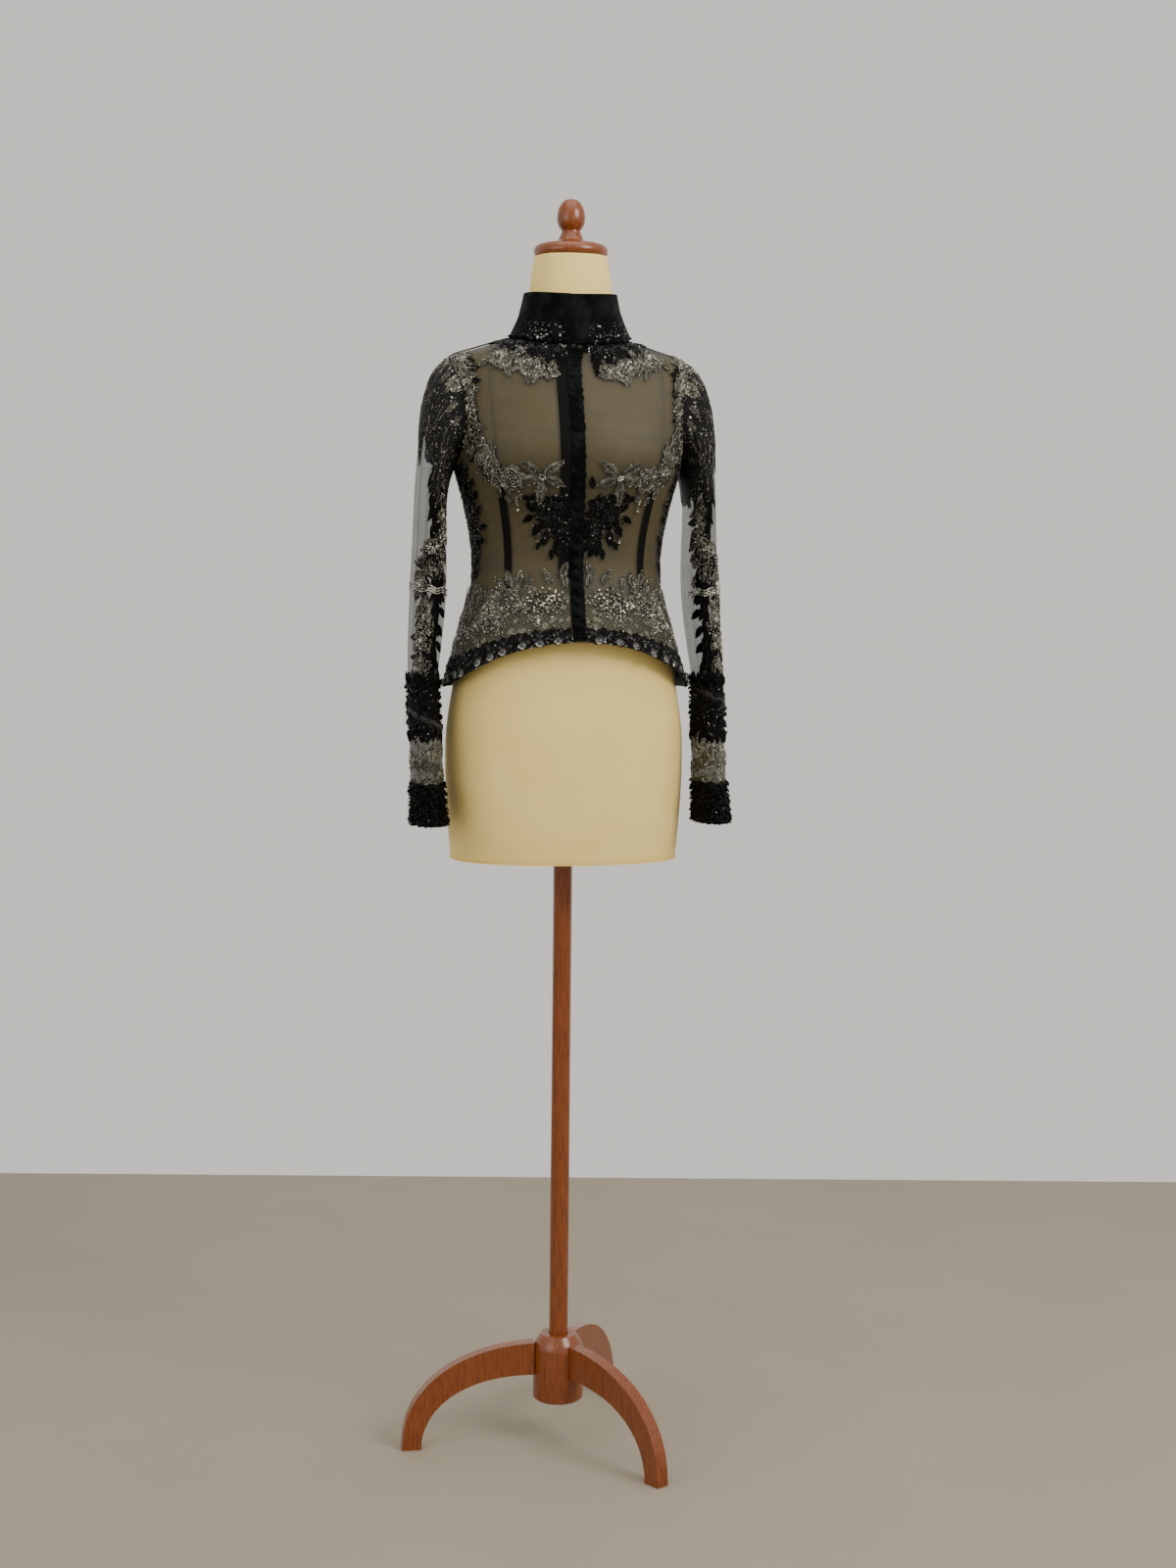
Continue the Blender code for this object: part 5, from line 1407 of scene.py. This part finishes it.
for word, side, surface in SLEEVES:
    random.seed(42)
    head, head_sequins = Work(1.7 * MM, 0.52 * MM, 0.92), Heap()
    for low, high, first in HEAD_GROUND:
        head.ground(surface, side, (first, 170), (low, high), 95, 22 * MM)
    for angle, level, turn, length in HEAD_LEAVES:
        spot = Spot(surface, side * angle, level, both_ways(side, turn))
        head.petal(spot, 0, 0, 0, length * MM, HEAD_LEAF_WIDTH * length * MM, HEAD_LEAF_RISE, LEAF_POINT)
    armhole_cord = []
    for level, height in ((-0.05, -0.4), (-0.02, 1.1), (0.05, 1.5), (0.12, 1.1), (0.16, 0.2)):
        armhole_cord.append([off(surface, angle, level, height * MM) for angle in steps(-180, 180, 97)])
    head.thread.grid(armhole_cord)
    for k in range(150):
        level = random.uniform(0.1, 3.9)
        angle = random.uniform(-20 + 18 * level, 135)
        way = lean(0.3)
        sequin(head_sequins, Spot(surface, side * angle, level), random.uniform(1.4, 2.2) * MM, way)
    head.sew(f"shoulder_leaves_{word}", DARK_LEAF, SILVER_BEADS, "black_lace", f"sleeve_head_leaves_{word}")
    head_sequins.sew(f"shoulder_sequins_{word}", JET_SEQUINS, "black_lace")
    vine = Work()
    vine.trail(surface, side, VINE_TRAIL, 26)
    for bloom in SLEEVE_BLOOMS + SHOULDER_SILVER:
        vine.bloom(surface, side, bloom)
    for k in range(54):
        angle = 8 + 2.6 * k
        for row, size in BRACELET_ROWS:
            level = BRACELET_LEVEL + 0.075 * row + 0.03 * math.sin(0.4 * k)
            bead(vine.beads, off(surface, side * angle, level, 1.3 * MM), size * MM)
    vine.sew(f"silver_vine_{word}", SILVER_THREAD, SILVER_BEADS, "silver_lace", f"sleeve_vine_{word}")
    sprigs = Work(3.6 * MM)
    sprigs.trail(surface, side, VINE_TRAIL, 60, False, (10, 90))
    sprigs.trail(surface, side, SPRIG_TRAIL, 84, False, (8, 38))
    for bloom in SEAM_SPRIGS:
        sprigs.bloom(surface, side, bloom)
    raised_strip(
        sprigs.thread, lambda level: side * (100 + 4 * math.sin(1.9 * level)), steps(3.4, 10.2, 90),
        4.0 * MM, 0.0, 0.8 * MM, surface,
    )
    sprigs.sew(f"seam_sprigs_{word}", BLACK_THREAD, JET_BEADS, "black_lace")


# The bands above the wrist: dense black lace with flowers and small tufts, silver-grey net lace with
# leaves and bunches of beads, and last the cuff, where black lace is gathered into rows of tufts. The
# edges of all three are ragged.

FOREARM_LEVELS, WRIST_LACE_LEVELS, CUFF_LEVELS = (10.12, 11.68), (11.62, 13.02), (13.0, 14.95)
AROUND = (-180, 180)
EVEN_TURN, EVEN_SHARE = 137.5, 0.618  # steps that spread motifs evenly round a band and along it
EDGE_PETALS, FOREARM_TUFTS, TUFT_ROWS, TUFTS_IN_A_ROW = 34, 220, 15, 46


def sleeve_band(name, surface, levels, wave, lift, look, slot, node):
    rows = []
    for share in steps(0, 1, 13):
        row = []
        for angle in steps(-180, 180, 97):
            ragged = wave * math.sin(math.radians(angle * 9))
            ragged += 0.5 * wave * math.sin(math.radians(angle * 23))
            low, high = levels[0] + ragged, min(levels[1] + 0.7 * ragged, WRIST + 0.1)
            row.append(off(surface, angle, low + (high - low) * share, lift))
        rows.append(row)
    band = Heap()
    band.grid(rows)
    made = band.sew(name, look, slot, node)


def tuft(heap, spot, length, width, height, bend):
    """A small curled end of gathered lace."""
    points = []
    for t in (0, 0.4, 0.75, 1):
        half = width / 2 * (1 - 0.75 * t * t)
        rise = height * math.sin(math.pi * 0.62 * t) + 0.3 * MM
        points += [spot.at(t * length, s * half + bend * t * t, rise) for s in (-1, 0, 1)]
    faces = [(n, n + 1, n + 4, n + 3) for n in (0, 1, 3, 4, 6, 7)]
    heap.add(points, faces)


random.seed(51)
for word, side, surface in SLEEVES:
    sleeve_band(
        f"forearm_lace_band_{word}", surface, FOREARM_LEVELS, wave=0.07, lift=LIFT + 0.3 * MM,
        look=BLACK_LACE, slot="black_lace", node=f"forearm_lace_{word}",
    )
    work, sequins = Work(4.2 * MM), Heap()
    for k in range(46):
        angle, level = (k * EVEN_TURN) % 360 - 180, 10.25 + 1.3 * ((k * EVEN_SHARE) % 1)
        work.flower(Spot(surface, angle, level, 20 * k), random.uniform(8, 11) * MM, 0.4)
    for k in range(EDGE_PETALS):
        for edge, turn in ((10.22, 270), (11.55, 90)):
            spot = Spot(surface, 360 / EDGE_PETALS * k - 180, edge, turn + random.uniform(-40, 40))
            length, rise = random.uniform(9, 19) * MM, random.uniform(1, 4.5) * MM
            work.petal(spot, 0, 0, 0, length, 6 * MM, rise, 0.8, beaded=False)
    work.ground(surface, 1, AROUND, (10.2, 11.6), 150, 11 * MM)
    for k in range(FOREARM_TUFTS):
        angle, level = random.uniform(*AROUND), random.uniform(10.15, 11.65)
        spot = Spot(surface, angle, level, random.uniform(0, 360))
        length, height = random.uniform(4, 6) * MM, random.uniform(2, 4.5) * MM
        tuft(work.thread, spot, length, 5 * MM, height, random.uniform(-2, 2) * MM)
    for k in range(260):
        spot = Spot(surface, random.uniform(*AROUND), random.uniform(10.1, 11.7))
        sequin(sequins, spot, random.uniform(1.1, 1.8) * MM, lean(0.3))
    work.sew(f"forearm_lace_flowers_{word}", BLACK_THREAD, JET_BEADS, "black_lace")
    sequins.sew(f"forearm_lace_sequins_{word}", JET_SEQUINS, "black_lace")

    sleeve_band(
        f"wrist_lace_band_{word}", surface, WRIST_LACE_LEVELS, wave=0.05, lift=LIFT + 0.1 * MM,
        look=NET_LACE, slot="silver_lace", node=f"wrist_lace_{word}",
    )
    work = Work()
    for k in range(26):
        angle, level = (k * EVEN_TURN) % 360 - 180, 11.75 + 1.1 * ((k * EVEN_SHARE) % 1)
        kind, size = (("leaf", 21), ("flower", 11), ("leaf", 21), ("leaf", 21), ("berries", 6))[k % 5]
        work.bloom(surface, side, Bloom(kind, angle, level, 60 + (k * 77) % 120, size))
    for k in range(90):
        place = off(surface, random.uniform(*AROUND), random.uniform(11.7, 12.95), 1.0 * MM)
        bead(work.beads, place, random.uniform(0.8, 1.2) * MM)
    work.sew(f"wrist_lace_leaves_{word}", SILVER_THREAD, SILVER_BEADS, "silver_lace")

    sleeve_band(
        f"cuff_band_{word}", surface, CUFF_LEVELS, wave=0.04, lift=LIFT + 0.3 * MM,
        look=BLACK_LACE, slot="black_lace", node=f"cuff_{word}",
    )
    tufts, sequins = Heap(), Heap()
    for row in range(TUFT_ROWS):
        level = 13.02 + 0.128 * row
        for k in range(TUFTS_IN_A_ROW):
            angle = 360 / TUFTS_IN_A_ROW * (k + 0.5 * (row % 2)) + random.uniform(-3, 3)
            spot = Spot(surface, angle, level + random.uniform(-0.03, 0.03), 90 + random.uniform(-55, 55))
            length = random.uniform(3.5, 7) * (0.7 if row == TUFT_ROWS - 1 else 1) * MM
            width, height = random.uniform(3.5, 6) * MM, random.uniform(1.6, 5.0) * MM
            tuft(tufts, spot, length, width, height, random.uniform(-2, 2) * MM)
    for k in range(170):
        spot = Spot(surface, random.uniform(*AROUND), random.uniform(13.0, 14.9))
        sequin(sequins, spot, random.uniform(1.0, 1.6) * MM, lean(0.5))
    tufts.sew(f"cuff_tufts_{word}", BLACK_THREAD, "black_lace")
    sequins.sew(f"cuff_sequins_{word}", JET_SEQUINS, "black_lace")


# Where it stands: a plain pale floor that ends a little behind the form, an even pale light from all
# round, soft light from three large panels, and the camera a little to one side at chest height.

CAMERA_AZIMUTH = math.radians(-10)
FLOOR_BEHIND, ROOM = 1.36, 8
along = Vector((math.cos(CAMERA_AZIMUTH), math.sin(CAMERA_AZIMUTH), 0)) * ROOM
back = Vector((-math.sin(CAMERA_AZIMUTH), math.cos(CAMERA_AZIMUTH), 0))
floor_look = Look("pale floor")
floor_mesh = bpy.data.meshes.new("floor")
floor_mesh.from_pydata(
    [back * FLOOR_BEHIND + along, back * FLOOR_BEHIND - along, -back * ROOM - along, -back * ROOM + along],
    [], [(0, 1, 2, 3)],
)
floor_mesh.uv_layers.new(name="flat")
floor_tone = floor_look.mix(floor_look.noise(3, 4), (0.30, 0.26, 0.20), (0.345, 0.30, 0.235))
floor_mesh.materials.append(floor_look.finish(Base__Color=floor_tone, Roughness=0.85))
placed("floor", floor_mesh)


def light_panel(name, place, aim, width, power, colour):
    lamp = bpy.data.lights.new(name, "AREA")
    lamp.shape, lamp.size, lamp.energy, lamp.color = "DISK", width, power, colour
    made = placed(name, lamp)
    made.location = place
    made.rotation_euler = (Vector(aim) - Vector(place)).to_track_quat("-Z", "Y").to_euler()


light_panel("key light", (1.9, -2.2, 2.7), (0, 0, 1.1), 1.6, 70, (1.0, 0.96, 0.90))
light_panel("fill light", (-2.6, -2.0, 1.9), (0, 0, 1.1), 2.2, 20, (1.0, 0.97, 0.93))
light_panel("ceiling light", (0, -0.6, 3.4), (0, 0.1, 0), 2.6, 26, (1.0, 0.96, 0.90))
world = bpy.data.worlds.new("room")
bpy.context.scene.world = world
world.use_nodes = True
world.node_tree.nodes["Background"].inputs["Color"].default_value = (1.0, 0.97, 0.91, 1)
world.node_tree.nodes["Background"].inputs["Strength"].default_value = 0.80

CAMERA_DISTANCE, CAMERA_HEIGHT = 3.10, 1.195
CAMERA_PITCH, CAMERA_ROLL, CAMERA_ASIDE = math.radians(-5.5), math.radians(0.6), math.atan(25 / 2400)
lens = bpy.data.cameras.new("camera")
lens.sensor_fit, lens.sensor_height, lens.sensor_width, lens.lens = "VERTICAL", 36, 36, 54
camera = placed("camera", lens)
aim = (
    Matrix.Rotation(CAMERA_AZIMUTH - CAMERA_ASIDE, 3, "Z")
    @ Matrix.Rotation(math.pi / 2 + CAMERA_PITCH, 3, "X") @ Matrix.Rotation(CAMERA_ROLL, 3, "Z")
)
away_x = math.sin(CAMERA_AZIMUTH) * CAMERA_DISTANCE
away_y = -math.cos(CAMERA_AZIMUTH) * CAMERA_DISTANCE
camera.matrix_world = Matrix.Translation((away_x, away_y, CAMERA_HEIGHT)) @ aim.to_4x4()
bpy.context.scene.camera = camera
